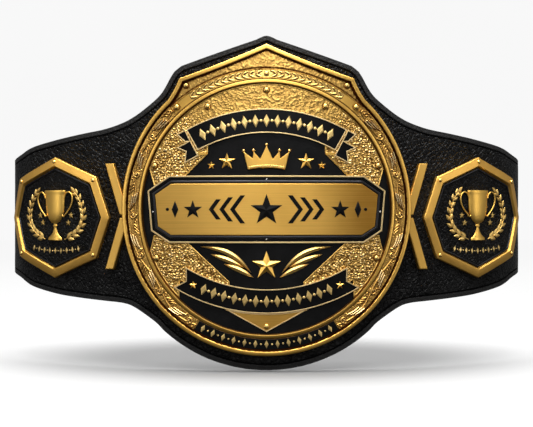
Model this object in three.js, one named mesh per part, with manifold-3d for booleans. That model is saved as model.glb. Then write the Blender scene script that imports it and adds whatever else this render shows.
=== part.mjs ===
// Championship title belt, closed to its widest size as when it is worn.
// Millimetres, +Z up, the front plate faces -Y, the origin is the middle of the waist hollow.
// Every piece is drawn flat (x along the belt, y up, z outward) and then wrapped round the waist.

import * as THREE from 'three';
import * as BufferGeometryUtils from 'three/addons/utils/BufferGeometryUtils.js';
import Module from 'manifold-3d';

const wasm = await Module();
wasm.setup();

// Waist oval, seen from above
const FRONT_RADIUS = 400;
const FRONT_HALF_LENGTH = 232;
const SIDE_RADIUS = 78;
const SIDE_END_ANGLE = THREE.MathUtils.degToRad(150);

// Leather strap
const LEATHER = 3;
const CROWN_MARGIN = 8.5;
const RING_MARGIN = 13.5;
const TAIL_HALF_HEIGHT = 50;
const TAIL_CORNER = 14;
const OVERLAP = 96;
const FLAP_RISE_LENGTH = 70;

// Main plate
const RING_RADIUS = 131.5;
const RING_LIFT = 7;
const PEAK_RISE = 15.4;
const SHOULDER_RISE = 8.9;
const SHOULDER_ANGLE = THREE.MathUtils.degToRad(33.4);
const CROWN_MEET_ANGLE = THREE.MathUtils.degToRad(42);
const PLATE_THICKNESS = 3;
const RIM_WIDTH = 4.6;
const RIM_RISE = 3.7;
const GROOVE_WIDTH = 1.2;
const BAND_WIDTH = 9.6;
const BAND_RISE = 1.5;
const TITLE_BAND_RISE = 1;
const INNER_RIM_WIDTH = 4.2;
const INNER_RIM_RISE = 3.3;
const TITLE_BAND_HALF_ANGLE = THREE.MathUtils.degToRad(43);
const LOWER_PANEL_HALF_ANGLE = THREE.MathUtils.degToRad(30.5);
const FILIGREE_RISE = 1.2;
const SCROLL_RISE = 0.9;
const SCROLL_COUNT = 9;
const LOWER_PANEL_THICKNESS = 0.9;

// Medallion inside the ring
const FIELD_THICKNESS = 1;
const NAMEPLATE_SIDE_CLEARANCE = 5.5;
const NAMEPLATE_HEIGHT = 60.4;
const NAMEPLATE_DROP = 0.6;
const NAMEPLATE_CORNER_LENGTH = 20;
const NAMEPLATE_CORNER_HEIGHT = 13.4;
const NAMEPLATE_LEAN = 3.3;
const NAMEPLATE_THICKNESS = 1.2;
const NAMEPLATE_EDGE_WIDTH = 1.2;
const NAMEPLATE_EDGE_RISE = 0.7;
const NAMEPLATE_BORDER = 7.2;
const NAMEPLATE_PANEL_THICKNESS = 1.2;
const RIBBON_THICKNESS = 1.4;
const RIBBON_HEIGHT = 21.6;
const UPPER_RIBBON_RADIUS = 146.3;
const UPPER_RIBBON_CLEARANCE = 22.7;
const UPPER_RIBBON_HALF_WIDTH = 71;
const LOWER_RIBBON_RADIUS = 161;
const LOWER_RIBBON_CLEARANCE = 18.3;
const LOWER_RIBBON_HALF_WIDTH = 82.4;
const RIBBON_NOTCH = 7;
const CROWN_WIDTH = 32.4;
const CROWN_HEIGHT = 17.8;
const CROWN_CLEARANCE = 4.8;
const CROWN_THICKNESS = 1.8;
const BALL_RADIUS = 1.5;
const STAR_RADIUS = 7.6;
const SMALL_STAR_RADIUS = 3.6;
const LOWER_STAR_RADIUS = 13;
const STAR_EDGE = 0.8;
const STAR_PEAK = 1.6;
const STAR_WAIST = 0.4;
const FEATHER_EDGE = 0.7;
const FEATHER_RIDGE = 1.7;
const SHIELD_HALF_WIDTH = 37;
const SHIELD_CLEARANCE = 1.7;
const SHIELD_THICKNESS = 1.2;
const RIVET_RADIUS = 2.5;
const RIVET_RISE = 2;

// Slanted bars between the main plate and the side plates
const BAR_WIDTH = 8.6;
const BAR_HEIGHT = 47.5;
const BAR_SLANT = 15;
const BAR_TUCK = 5.5;
const BAR_PART = 1.2;
const BAR_THICKNESS = 4.2;

// Side plates
const SIDE_CLEARANCE = 10.9;
const SIDE_HALF_WIDTH = 60.5;
const SIDE_HALF_HEIGHT = 56.8;
const SIDE_CORNER_ALONG = 46.8;
const SIDE_CORNER_UP = 37.5;
const SIDE_DROP = 1.2;
const SIDE_TRAY = 1.5;
const SIDE_FRAME_WIDTH = 8.6;
const SIDE_FRAME_RISE = 3.4;
const SIDE_PANEL_THICKNESS = 0.9;
const SIDE_RIVET_RADIUS = 2.2;
const CUP_HEIGHT = 47;
const CUP_FOOT = -21.2;
const CUP_MOUTH_RADIUS = 12.6;
const CUP_DEPTH_SHARE = 0.26;
const HANDLE_REACH = 20.8;
const HANDLE_WIRE = 1.5;
const LAUREL_HALF_WIDTH = 32.4;
const LAUREL_HALF_HEIGHT = 24.1;
const LAUREL_STEM = 1.2;
const LEAF_PAIRS = 8;
const LEAF_LENGTH = 6.4;
const LEAF_WIDTH = 2.7;
const LEAF_RISE = 1.3;

// Press studs at the back
const STUD_RADIUS = 7;
const STUD_RISE = 2.4;
const STUD_SHANK_RADIUS = 2.4;
const STUD_COLUMN_PITCH = 48;
const STUD_ROW_PITCH = 52;

// Shared clearance, and the length of one flat facet round the waist
const GAP = 0.3;
const FACET = 16;
const WELD = 0.001;

const GOLD = { color: 0xc9a24a, metalness: 1, roughness: 0.3 };
const DARK_GOLD = { color: 0xa8843c, metalness: 1, roughness: 0.42 };
const BLACK = { color: 0x101010, metalness: 0, roughness: 0.35 };
const HIDE = { color: 0x141414, metalness: 0, roughness: 0.6 };
const NICKEL = { color: 0xb8b8b4, metalness: 1, roughness: 0.25 };

// Levels above the inner face of the leather
const PLATE_BACK = LEATHER + GAP;
const PLATE_FLOOR = PLATE_BACK + PLATE_THICKNESS;
const ROOT = 1;
const FIELD_BACK = PLATE_FLOOR + GAP;
const FIELD_FRONT = FIELD_BACK + FIELD_THICKNESS;
const RELIEF_BACK = FIELD_FRONT + GAP;
const NAMEPLATE_FRONT = RELIEF_BACK + NAMEPLATE_THICKNESS;
const BAND_RADIUS = RING_RADIUS - RIM_WIDTH - GROOVE_WIDTH;
const INNER_RIM_RADIUS = BAND_RADIUS - BAND_WIDTH;
const FIELD_RADIUS = INNER_RIM_RADIUS - INNER_RIM_WIDTH;
const BAND_LEVEL = PLATE_FLOOR + BAND_RISE;

// Places that follow from the sizes
const PEAK_HEIGHT = RING_LIFT + RING_RADIUS + PEAK_RISE;
const NAMEPLATE_HALF_LENGTH = FIELD_RADIUS - NAMEPLATE_SIDE_CLEARANCE;
const NAMEPLATE_TOP = RING_LIFT - NAMEPLATE_DROP + NAMEPLATE_HEIGHT / 2;
const NAMEPLATE_BOTTOM = NAMEPLATE_TOP - NAMEPLATE_HEIGHT;
const UPPER_RIBBON_MIDDLE = RING_LIFT + FIELD_RADIUS - UPPER_RIBBON_CLEARANCE - UPPER_RIBBON_RADIUS;
const UPPER_RIBBON_HALF_ANGLE = Math.asin(UPPER_RIBBON_HALF_WIDTH / UPPER_RIBBON_RADIUS);
const LOWER_RIBBON_MIDDLE = RING_LIFT - FIELD_RADIUS + LOWER_RIBBON_CLEARANCE + LOWER_RIBBON_RADIUS;
const LOWER_RIBBON_HALF_ANGLE = Math.asin(LOWER_RIBBON_HALF_WIDTH / LOWER_RIBBON_RADIUS);
const SHIELD_POINT = RING_LIFT - FIELD_RADIUS + SHIELD_CLEARANCE;
const CROWN_FOOT = NAMEPLATE_TOP + CROWN_CLEARANCE;
const BAR_FOOT = RING_RADIUS - BAR_TUCK;
const SIDE_AT = BAR_FOOT + BAR_WIDTH + SIDE_CLEARANCE + SIDE_HALF_WIDTH;

// Waist oval: three arcs from the middle of the front to the middle of the back
const FRONT_ANGLE = FRONT_HALF_LENGTH / FRONT_RADIUS;
const BACK_RADIUS = (FRONT_RADIUS * Math.sin(FRONT_ANGLE)
  + SIDE_RADIUS * (Math.sin(SIDE_END_ANGLE) - Math.sin(FRONT_ANGLE))) / Math.sin(SIDE_END_ANGLE);
const SIDE_LENGTH = SIDE_RADIUS * (SIDE_END_ANGLE - FRONT_ANGLE);
const BACK_LENGTH = BACK_RADIUS * (Math.PI - SIDE_END_ANGLE);
const HALF_LOOP = FRONT_HALF_LENGTH + SIDE_LENGTH + BACK_LENGTH;
const STRAP_END = HALF_LOOP + OVERLAP / 2;
const STEP = HALF_LOOP / Math.round(HALF_LOOP / FACET);

const outward = (angle) => new THREE.Vector2(Math.sin(angle), -Math.cos(angle));
const FRONT_CENTRE = new THREE.Vector2(0, 0);
const SIDE_CENTRE = outward(FRONT_ANGLE).multiplyScalar(FRONT_RADIUS - SIDE_RADIUS);
const BACK_CENTRE = SIDE_CENTRE.clone().addScaledVector(outward(SIDE_END_ANGLE), SIDE_RADIUS - BACK_RADIUS);
const WAIST_MIDDLE = (BACK_CENTRE.y + BACK_RADIUS - FRONT_RADIUS) / 2;

// How far the outer flap is lifted over the inner one where the strap ends overlap
function flapLift(along) {
  const start = HALF_LOOP - OVERLAP / 2 - FLAP_RISE_LENGTH;
  return (LEATHER + GAP) * THREE.MathUtils.smoothstep(along, start, start + FLAP_RISE_LENGTH - STEP);
}

// Takes one flat point to its place round the waist
function wrap(along, up, out) {
  const length = Math.abs(along);
  let centre = FRONT_CENTRE;
  let radius = FRONT_RADIUS;
  let angle = length / FRONT_RADIUS;
  if (length > FRONT_HALF_LENGTH + SIDE_LENGTH) {
    centre = BACK_CENTRE;
    radius = BACK_RADIUS;
    angle = SIDE_END_ANGLE + (length - FRONT_HALF_LENGTH - SIDE_LENGTH) / BACK_RADIUS;
  } else if (length > FRONT_HALF_LENGTH) {
    centre = SIDE_CENTRE;
    radius = SIDE_RADIUS;
    angle = FRONT_ANGLE + (length - FRONT_HALF_LENGTH) / SIDE_RADIUS;
  }
  const place = outward(angle).multiplyScalar(radius + out + flapLift(along)).add(centre);
  return new THREE.Vector3(Math.sign(along) * place.x, place.y - WAIST_MIDDLE, up);
}

function merged(geometry) {
  const bare = geometry.clone();
  bare.deleteAttribute('normal');
  bare.deleteAttribute('uv');
  return BufferGeometryUtils.mergeVertices(bare, 1e-4);
}

function toSolid(geometry) {
  const closed = merged(geometry);
  return new wasm.Manifold(new wasm.Mesh({
    numProp: 3,
    vertProperties: new Float32Array(closed.getAttribute('position').array),
    triVerts: new Uint32Array(closed.getIndex().array),
  }));
}

function fromSolid(solid) {
  const mesh = solid.getMesh();
  const geometry = new THREE.BufferGeometry();
  geometry.setAttribute('position', new THREE.BufferAttribute(mesh.vertProperties, 3));
  geometry.setIndex(new THREE.BufferAttribute(mesh.triVerts, 1));
  return geometry;
}

const join = (...pieces) => fromSolid(pieces.map(toSolid).reduce((a, b) => a.add(b)));
const cut = (piece, ...tools) => fromSolid(tools.map(toSolid).reduce((a, b) => a.subtract(b), toSolid(piece)));
const keep = (piece, tool) => fromSolid(toSolid(piece).intersect(toSolid(tool)));

// Cuts a flat piece at the facet planes, so that it can follow the curve. The faces between
// two neighbouring cuts are left out, so the facets still make one closed skin.
function sliceAlong(geometry) {
  const solid = toSolid(geometry);
  geometry.computeBoundingBox();
  const { min, max } = geometry.boundingBox;
  const corners = [];
  for (let cell = Math.floor(min.x / STEP); cell * STEP < max.x; cell += 1) {
    const box = new THREE.BoxGeometry(STEP, 2 * PEAK_HEIGHT * 1.5, PEAK_HEIGHT).translate((cell + 0.5) * STEP, 0, 0);
    const part = fromSolid(solid.intersect(toSolid(box)));
    const position = part.getAttribute('position');
    const index = part.getIndex();
    const planes = [cell * STEP, (cell + 1) * STEP];
    for (let i = 0; i < index.count; i += 3) {
      const triangle = [0, 1, 2].map((k) => new THREE.Vector3().fromBufferAttribute(position, index.getX(i + k)));
      triangle.forEach((corner) => {
        planes.filter((plane) => Math.abs(corner.x - plane) < WELD).forEach((plane) => { corner.x = plane; });
      });
      const flush = planes.some((plane) => triangle.every((corner) => corner.x === plane));
      if (!flush) corners.push(...triangle);
    }
  }
  return new THREE.BufferGeometry().setFromPoints(matchedAtCuts(welded(corners)));
}

// Splits each triangle whose edge lies along a cut where its neighbour has a corner on that edge
function matchedAtCuts(corners) {
  const isCut = (x) => Number.isInteger(Math.round(x / STEP * 1e6) / 1e6);
  const onCut = [...new Set(corners)].filter((corner) => isCut(corner.x));
  const matched = [];
  for (let i = 0; i < corners.length; i += 3) {
    const triangle = corners.slice(i, i + 3);
    const start = [0, 1, 2].find((k) => isCut(triangle[k].x) && triangle[k].x === triangle[(k + 1) % 3].x) ?? 0;
    const [from, to, apex] = [0, 1, 2].map((k) => triangle[(start + k) % 3]);
    const edge = new THREE.Line3(from, to);
    const closest = new THREE.Vector3();
    const between = from.x !== to.x || !isCut(from.x) ? [] : onCut.filter((corner) => (
      corner.x === from.x && corner !== from && corner !== to
      && edge.closestPointToPoint(corner, true, closest).distanceTo(corner) < WELD));
    between.sort((a, b) => a.distanceTo(from) - b.distanceTo(from));
    const chain = [from, ...between, to];
    for (let k = 0; k < chain.length - 1; k += 1) matched.push(chain[k], chain[k + 1], apex);
  }
  return matched;
}

// Gives corners that all but touch one place
function welded(corners) {
  const places = new Map();
  const cellOf = (value) => Math.floor(value / (4 * WELD));
  return corners.map((corner) => {
    const near = [];
    [-1, 0, 1].forEach((i) => [-1, 0, 1].forEach((j) => [-1, 0, 1].forEach((k) => {
      const key = [cellOf(corner.x) + i, cellOf(corner.y) + j, cellOf(corner.z) + k].join();
      near.push(...(places.get(key) ?? []));
    })));
    const found = near.find((place) => place.distanceTo(corner) < WELD);
    if (found) return found;
    const key = [corner.x, corner.y, corner.z].map(cellOf).join();
    places.set(key, [...(places.get(key) ?? []), corner]);
    return corner;
  });
}

// Wraps a flat piece round the waist, cut into facets first when it is long
function wrapPiece(geometry, sliced) {
  const flat = merged(sliced ? sliceAlong(geometry) : geometry);
  const position = flat.getAttribute('position');
  for (let i = 0; i < position.count; i += 1) {
    const place = wrap(position.getX(i), position.getY(i), position.getZ(i));
    position.setXYZ(i, place.x, place.y, place.z);
  }
  flat.computeVertexNormals();
  return flat;
}

const belt = new THREE.Group();

function addPiece(name, geometry, finish, sliced = true) {
  const mesh = new THREE.Mesh(wrapPiece(geometry, sliced), new THREE.MeshStandardMaterial(finish));
  mesh.name = name;
  belt.add(mesh);
}

// Flat outlines

const point = (x, y) => new THREE.Vector2(x, y);
const mirrored = (points) => points.map((p) => point(-p.x, p.y)).reverse();
const moved = (points, x, y) => points.map((p) => point(p.x + x, p.y + y));

const polar = (x, y, radius, angle) => point(x + radius * Math.cos(angle), y + radius * Math.sin(angle));

function arc(x, y, radius, start, end, steps) {
  return Array.from({ length: steps + 1 }, (_, i) => polar(x, y, radius, start + (end - start) * i / steps));
}

function slab(outline, back, front, holes = []) {
  const shape = new THREE.Shape(THREE.ShapeUtils.isClockWise(outline) ? [...outline].reverse() : outline);
  shape.holes = holes.map((hole) => new THREE.Path(hole));
  const geometry = new THREE.ExtrudeGeometry(shape, { depth: front - back, bevelEnabled: false, steps: 1 });
  return geometry.translate(0, 0, back);
}

// Moves each side of a closed outline inwards by the same distance
function inset(outline, distance) {
  const turn = THREE.ShapeUtils.isClockWise(outline) ? -1 : 1;
  return outline.map((corner, i) => {
    const before = corner.clone().sub(outline.at(i - 1)).normalize();
    const after = outline[(i + 1) % outline.length].clone().sub(corner).normalize();
    const normal = point(-before.y - after.y, before.x + after.x).normalize().multiplyScalar(turn);
    const lean = Math.max(0.3, normal.dot(point(-after.y, after.x).multiplyScalar(turn)));
    return corner.clone().addScaledVector(normal, distance / lean);
  });
}

// One band of the ring between two angles, both measured from straight up
function ringBand(inner, outer, from, to, steps) {
  const start = Math.PI / 2 - from;
  const end = Math.PI / 2 - to;
  return [
    ...arc(0, RING_LIFT, outer, start, end, steps),
    ...arc(0, RING_LIFT, inner, end, start, steps),
  ];
}

// Ring with a low crown: its brow and its flanks are slightly hollow
function plateOutline() {
  const meet = arc(0, RING_LIFT, RING_RADIUS, Math.PI / 2 - CROWN_MEET_ANGLE, -Math.PI / 2, 24);
  const peak = point(0, PEAK_HEIGHT);
  const shoulder = polar(0, RING_LIFT, RING_RADIUS + SHOULDER_RISE, Math.PI / 2 - SHOULDER_ANGLE);
  const brow = new THREE.QuadraticBezierCurve(
    peak, peak.clone().lerp(shoulder, 0.5).add(point(-1, -2.2)), shoulder);
  const flank = new THREE.QuadraticBezierCurve(
    shoulder, shoulder.clone().lerp(meet[0], 0.5).add(point(-1.2, -0.8)), meet[0]);
  const right = [...brow.getPoints(5).slice(0, -1), ...flank.getPoints(3).slice(0, -1), ...meet];
  return [...right, ...mirrored(right.slice(1, -1))];
}

// Edge of the strap's wings from the ring outwards, in shares of the ring's radius
const WING_EDGE = [
  { along: 0.586, top: 1.037, bottom: null },
  { along: 0.638, top: 0.998, bottom: null },
  { along: 0.662, top: 0.963, bottom: null },
  { along: 0.706, top: 0.886, bottom: null },
  { along: 0.749, top: 0.830, bottom: null },
  { along: 0.837, top: 0.759, bottom: -0.682 },
  { along: 0.927, top: 0.699, bottom: -0.624 },
  { along: 1.018, top: 0.656, bottom: -0.604 },
  { along: 1.161, top: 0.616, bottom: -0.595 },
  { along: 1.361, top: 0.587, bottom: -0.581 },
  { along: 1.577, top: 0.554, bottom: -0.560 },
  { along: 1.816, top: 0.510, bottom: -0.515 },
  { along: 1.984, top: 0.460, bottom: -0.457 },
];

function strapOutline() {
  const tail = STRAP_END - TAIL_CORNER;
  const wing = WING_EDGE.at(-1).along * RING_RADIUS;
  const edge = (column) => WING_EDGE.filter((row) => row[column] !== null)
    .map((row) => point(row.along * RING_RADIUS, row[column] * RING_RADIUS));
  const taper = (side) => point(wing + SIDE_LENGTH / 2, side * TAIL_HALF_HEIGHT * 1.08);
  const corner = (side) => arc(
    tail, side * (TAIL_HALF_HEIGHT - TAIL_CORNER), TAIL_CORNER, side * Math.PI / 2, 0, 4);
  const peak = [point(0, PEAK_HEIGHT + CROWN_MARGIN), point(5, PEAK_HEIGHT + CROWN_MARGIN - 1.3)];
  const belly = arc(0, RING_LIFT, RING_RADIUS + RING_MARGIN, -Math.PI * 0.232, -Math.PI / 2, 14);
  const right = [
    ...peak, ...edge('top'), taper(1), ...corner(1),
    ...corner(-1).reverse(), taper(-1), ...edge('bottom').reverse(), ...belly,
  ];
  return [...right, ...mirrored(right.slice(1, -1))];
}

// Places of the press studs, measured from the middle of the overlap
const STUD_PLACES = [-1, 1].flatMap((column) => [-1, 1].map((row) => ({
  along: column * STUD_COLUMN_PITCH / 2,
  up: row * STUD_ROW_PITCH / 2,
})));

function strap() {
  const hole = (along, up) => arc(along, up, STUD_SHANK_RADIUS + GAP, 0, 2 * Math.PI * 7 / 8, 7);
  const holes = STUD_PLACES.flatMap(({ along, up }) => [
    hole(HALF_LOOP + along, up),
    hole(-HALF_LOOP + along, up),
  ]);
  addPiece('leather_strap', slab(strapOutline(), 0, LEATHER, holes), HIDE);
}

// Press stud: a cap and a washer joined by a shank through both layers of leather
function pressStuds() {
  const inside = -GAP;
  const outside = 2 * LEATHER + 2 * GAP;
  const profile = [
    point(0, inside - STUD_RISE / 2),
    point(STUD_RADIUS * 0.8, inside - STUD_RISE / 2),
    point(STUD_RADIUS * 0.9, inside),
    point(STUD_SHANK_RADIUS, inside),
    point(STUD_SHANK_RADIUS, outside),
    point(STUD_RADIUS, outside),
    point(STUD_RADIUS, outside + STUD_RISE * 0.4),
    point(STUD_RADIUS * 0.6, outside + STUD_RISE * 0.9),
    point(0, outside + STUD_RISE),
  ];
  STUD_PLACES.forEach(({ along, up }, i) => {
    const stud = new THREE.LatheGeometry(profile, 10).rotateX(Math.PI / 2);
    addPiece(`press_stud_${i + 1}`, stud.translate(-HALF_LOOP + along, up, 0), NICKEL, false);
  });
}

// Main plate: one casting with its rims and the plain part of the ring band raised on it
function mainPlate() {
  const outline = plateOutline();
  const root = PLATE_BACK + ROOT;
  const circle = (radius) => arc(0, RING_LIFT, radius, 0, 2 * Math.PI * 59 / 60, 59);
  const casting = join(
    slab(outline, PLATE_BACK, PLATE_FLOOR),
    slab(outline, root, PLATE_FLOOR + RIM_RISE, [inset(outline, RIM_WIDTH)]),
    slab(circle(BAND_RADIUS), root, BAND_LEVEL, [circle(FIELD_RADIUS)]),
    slab(circle(INNER_RIM_RADIUS), root, PLATE_FLOOR + INNER_RIM_RISE, [circle(FIELD_RADIUS)]),
    slab(
      ringBand(INNER_RIM_RADIUS - ROOT, BAND_RADIUS, -TITLE_BAND_HALF_ANGLE, TITLE_BAND_HALF_ANGLE, 14),
      root, BAND_LEVEL + TITLE_BAND_RISE),
  );
  addPiece('main_plate', casting, GOLD);
}

// Side stretches of the ring: a strip of leaves and scrolls on each side
function filigree() {
  const inner = INNER_RIM_RADIUS + GAP;
  const outer = BAND_RADIUS;
  const back = BAND_LEVEL + GAP;
  const from = TITLE_BAND_HALF_ANGLE + GAP / inner * 2;
  const to = Math.PI - LOWER_PANEL_HALF_ANGLE - GAP / inner * 2;
  const strip = slab(ringBand(inner, outer, from, to, 22), back, back + FILIGREE_RISE);
  const middle = (inner + outer) / 2;
  const pitch = (to - from) / SCROLL_COUNT;
  const scrolls = Array.from({ length: SCROLL_COUNT }, (_, i) => {
    const angle = Math.PI / 2 - from - pitch * (i + 0.5);
    const bend = i % 2 ? 1 : -1;
    const tip = middle * pitch * 0.46;
    const waist = BAND_WIDTH * 0.3;
    const leaf = [
      point(-tip, 0), point(-tip * 0.4, waist), point(tip * 0.4, waist * 0.7),
      point(tip, -waist * 0.4), point(tip * 0.3, -waist * 0.8), point(-tip * 0.5, -waist * 0.5),
    ].map((p) => point(p.x, p.y * bend));
    const scroll = slab(leaf, back + FILIGREE_RISE / 2, back + FILIGREE_RISE + SCROLL_RISE);
    return scroll.rotateZ(angle - Math.PI / 2)
      .translate(middle * Math.cos(angle), RING_LIFT + middle * Math.sin(angle), 0);
  });
  const right = join(strip, ...scrolls);
  const left = flipped(right);
  addPiece('filigree_left', left, DARK_GOLD);
  addPiece('filigree_right', right, DARK_GOLD);
}

// The same piece on the left side of the belt, with its faces still pointing outwards
function flipped(geometry) {
  const turned = merged(geometry).scale(-1, 1, 1);
  const index = turned.getIndex();
  for (let i = 0; i < index.count; i += 3) {
    const first = index.getX(i);
    index.setX(i, index.getX(i + 1));
    index.setX(i + 1, first);
  }
  return turned;
}

function lowerPanel() {
  const span = LOWER_PANEL_HALF_ANGLE;
  const back = BAND_LEVEL + GAP;
  const outline = ringBand(INNER_RIM_RADIUS + GAP, BAND_RADIUS, Math.PI - span, Math.PI + span, 12);
  addPiece('lower_band_panel', slab(outline, back, back + LOWER_PANEL_THICKNESS), BLACK);
}

// Corners of the hammered grounds beside the black fields, in shares of the field's radius,
// measured from the centre of the ring. The arcs of the ring close each outline.
const UPPER_GROUND = { ring: 161, side: [0.905, 0.181], inner: [0.64, 0.268], fold: [0.463, 0.44] };
const LOWER_GROUND = { ring: 200, side: [0.905, -0.213], inner: [0.63, -0.27], point: [0.292, -0.585] };

function hammeredGrounds() {
  const radius = FIELD_RADIUS - GAP;
  const corner = ([along, up], side = 1) => point(side * along * radius, RING_LIFT + up * radius);
  const degrees = THREE.MathUtils.degToRad;
  const hidden = UPPER_RIBBON_RADIUS - RIBBON_HEIGHT * 0.4;
  const reach = Math.asin(UPPER_GROUND.fold[0] * radius / hidden);
  const under = arc(0, UPPER_RIBBON_MIDDLE, hidden, Math.PI / 2 - reach, Math.PI / 2 + reach, 10);
  const rightSide = [UPPER_GROUND.side, UPPER_GROUND.inner, UPPER_GROUND.fold].map((c) => corner(c));
  const upper = [
    ...arc(0, RING_LIFT, radius, degrees(UPPER_GROUND.ring), degrees(180 - UPPER_GROUND.ring), 28),
    ...rightSide, ...under, ...mirrored(rightSide),
  ];
  addPiece('hammered_ground_upper', slab(upper, FIELD_BACK, FIELD_FRONT), DARK_GOLD);
  const belly = LOWER_RIBBON_RADIUS - RIBBON_HEIGHT * 0.4;
  const start = -Math.PI / 2 + Math.asin(LOWER_GROUND.point[0] * radius / belly);
  const lower = [
    corner(LOWER_GROUND.side), corner(LOWER_GROUND.inner), corner(LOWER_GROUND.point),
    ...arc(0, LOWER_RIBBON_MIDDLE, belly, start, start + degrees(18), 5),
    ...arc(0, RING_LIFT, radius, degrees(180 - LOWER_GROUND.ring - 26), degrees(180 - LOWER_GROUND.ring), 6),
  ];
  const right = slab(lower.reverse(), FIELD_BACK, FIELD_FRONT);
  addPiece('hammered_ground_left', flipped(right), DARK_GOLD);
  addPiece('hammered_ground_right', right, DARK_GOLD);
}

function nameplateOutline(shrink) {
  const half = NAMEPLATE_HALF_LENGTH;
  const right = [
    point(half - NAMEPLATE_CORNER_LENGTH, NAMEPLATE_TOP),
    point(half, NAMEPLATE_TOP - NAMEPLATE_CORNER_HEIGHT),
    point(half - NAMEPLATE_LEAN, NAMEPLATE_BOTTOM + NAMEPLATE_CORNER_HEIGHT * 0.8),
    point(half - NAMEPLATE_CORNER_LENGTH, NAMEPLATE_BOTTOM),
  ];
  const outline = [...right, ...mirrored(right)];
  return shrink ? inset(outline, shrink) : outline;
}

function nameplate() {
  const frame = join(
    slab(nameplateOutline(0), RELIEF_BACK, NAMEPLATE_FRONT),
    slab(nameplateOutline(0), RELIEF_BACK + NAMEPLATE_THICKNESS / 2, NAMEPLATE_FRONT + NAMEPLATE_EDGE_RISE,
      [nameplateOutline(NAMEPLATE_EDGE_WIDTH)]),
  );
  addPiece('nameplate_frame', frame, BLACK);
  const back = NAMEPLATE_FRONT + GAP;
  const panel = slab(nameplateOutline(NAMEPLATE_BORDER), back, back + NAMEPLATE_PANEL_THICKNESS);
  addPiece('nameplate_panel', panel, GOLD);
}

// Swallow tail beside the end of the upper ribbon, with the fold that joins them, in shares
// of the ribbon's height, measured from the upper end corner of the ribbon
const TAIL_CORNERS = [
  [0.02, 0], [0.38, -0.19], [0.02, -0.52], [-0.1, -0.5], [0.4, -0.74], [0, -0.91],
  [0.06, -1.4], [-0.54, -1.08], [-0.9, -1.05], [-0.82, -0.92], [-0.48, -0.96],
];

function upperRibbon() {
  const start = Math.PI / 2 - UPPER_RIBBON_HALF_ANGLE;
  const end = Math.PI / 2 + UPPER_RIBBON_HALF_ANGLE;
  const top = arc(0, UPPER_RIBBON_MIDDLE, UPPER_RIBBON_RADIUS, start, end, 16);
  const low = arc(0, UPPER_RIBBON_MIDDLE, UPPER_RIBBON_RADIUS - RIBBON_HEIGHT, end, start, 16);
  addPiece('upper_ribbon', slab([...top, ...low], RELIEF_BACK, RELIEF_BACK + RIBBON_THICKNESS), BLACK);
  const corner = top[0];
  const corners = TAIL_CORNERS
    .map(([x, y]) => point(corner.x + 2 * GAP + x * RIBBON_HEIGHT, corner.y + y * RIBBON_HEIGHT));
  const tail = slab(corners, RELIEF_BACK, RELIEF_BACK + RIBBON_THICKNESS / 2);
  addPiece('ribbon_tail_left', flipped(tail), BLACK);
  addPiece('ribbon_tail_right', tail, BLACK);
}

function lowerRibbon() {
  const centre = LOWER_RIBBON_MIDDLE;
  const start = -Math.PI / 2 - LOWER_RIBBON_HALF_ANGLE;
  const end = -Math.PI / 2 + LOWER_RIBBON_HALF_ANGLE;
  const inner = LOWER_RIBBON_RADIUS - RIBBON_HEIGHT;
  const notch = RIBBON_NOTCH / LOWER_RIBBON_RADIUS;
  const middle = LOWER_RIBBON_RADIUS - RIBBON_HEIGHT / 2;
  const outline = [
    ...arc(0, centre, LOWER_RIBBON_RADIUS, start, end, 16),
    polar(0, centre, middle, end - notch),
    ...arc(0, centre, inner, end, start, 16),
    polar(0, centre, middle, start + notch),
  ];
  addPiece('lower_ribbon', slab(outline, RELIEF_BACK, RELIEF_BACK + RIBBON_THICKNESS), BLACK);
}

function shieldTip() {
  const edge = LOWER_RIBBON_RADIUS + GAP;
  const reach = Math.asin(SHIELD_HALF_WIDTH / edge);
  const outline = [
    ...arc(0, LOWER_RIBBON_MIDDLE, edge, -Math.PI / 2 + reach, -Math.PI / 2 - reach, 8),
    point(0, SHIELD_POINT),
  ].reverse();
  addPiece('shield_tip', slab(outline, FIELD_BACK, FIELD_BACK + SHIELD_THICKNESS), GOLD);
}

// Points of the crown from the foot up, in shares of its width and height
const CROWN_POINTS = [
  { along: 0.5, up: 0.02 }, { along: 0.62, up: 0.93 }, { along: 0.37, up: 0.58 },
  { along: 0.35, up: 0.95 }, { along: 0.17, up: 0.55 },
];

function crown() {
  const half = CROWN_POINTS.map(({ along, up }) => point(along * CROWN_WIDTH, CROWN_FOOT + up * CROWN_HEIGHT));
  const outline = [...half, point(0, CROWN_FOOT + CROWN_HEIGHT * 1.17), ...mirrored(half)];
  const foot = new THREE.QuadraticBezierCurve(
    half[0].clone().setX(-half[0].x), point(0, CROWN_FOOT + CROWN_HEIGHT * 0.2), half[0]);
  const body = slab([...outline, ...foot.getPoints(6).slice(1, -1)], RELIEF_BACK - FIELD_THICKNESS,
    RELIEF_BACK + CROWN_THICKNESS);
  const tips = [half[1], half[3], point(0, CROWN_FOOT + CROWN_HEIGHT * 1.17)];
  const balls = [...tips, ...mirrored(tips.slice(0, 2))].map((tip) => (
    new THREE.SphereGeometry(BALL_RADIUS, 8, 4).translate(tip.x, tip.y + BALL_RADIUS * 0.5, RELIEF_BACK)));
  addPiece('crown', join(body, ...balls), GOLD, false);
}

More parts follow.
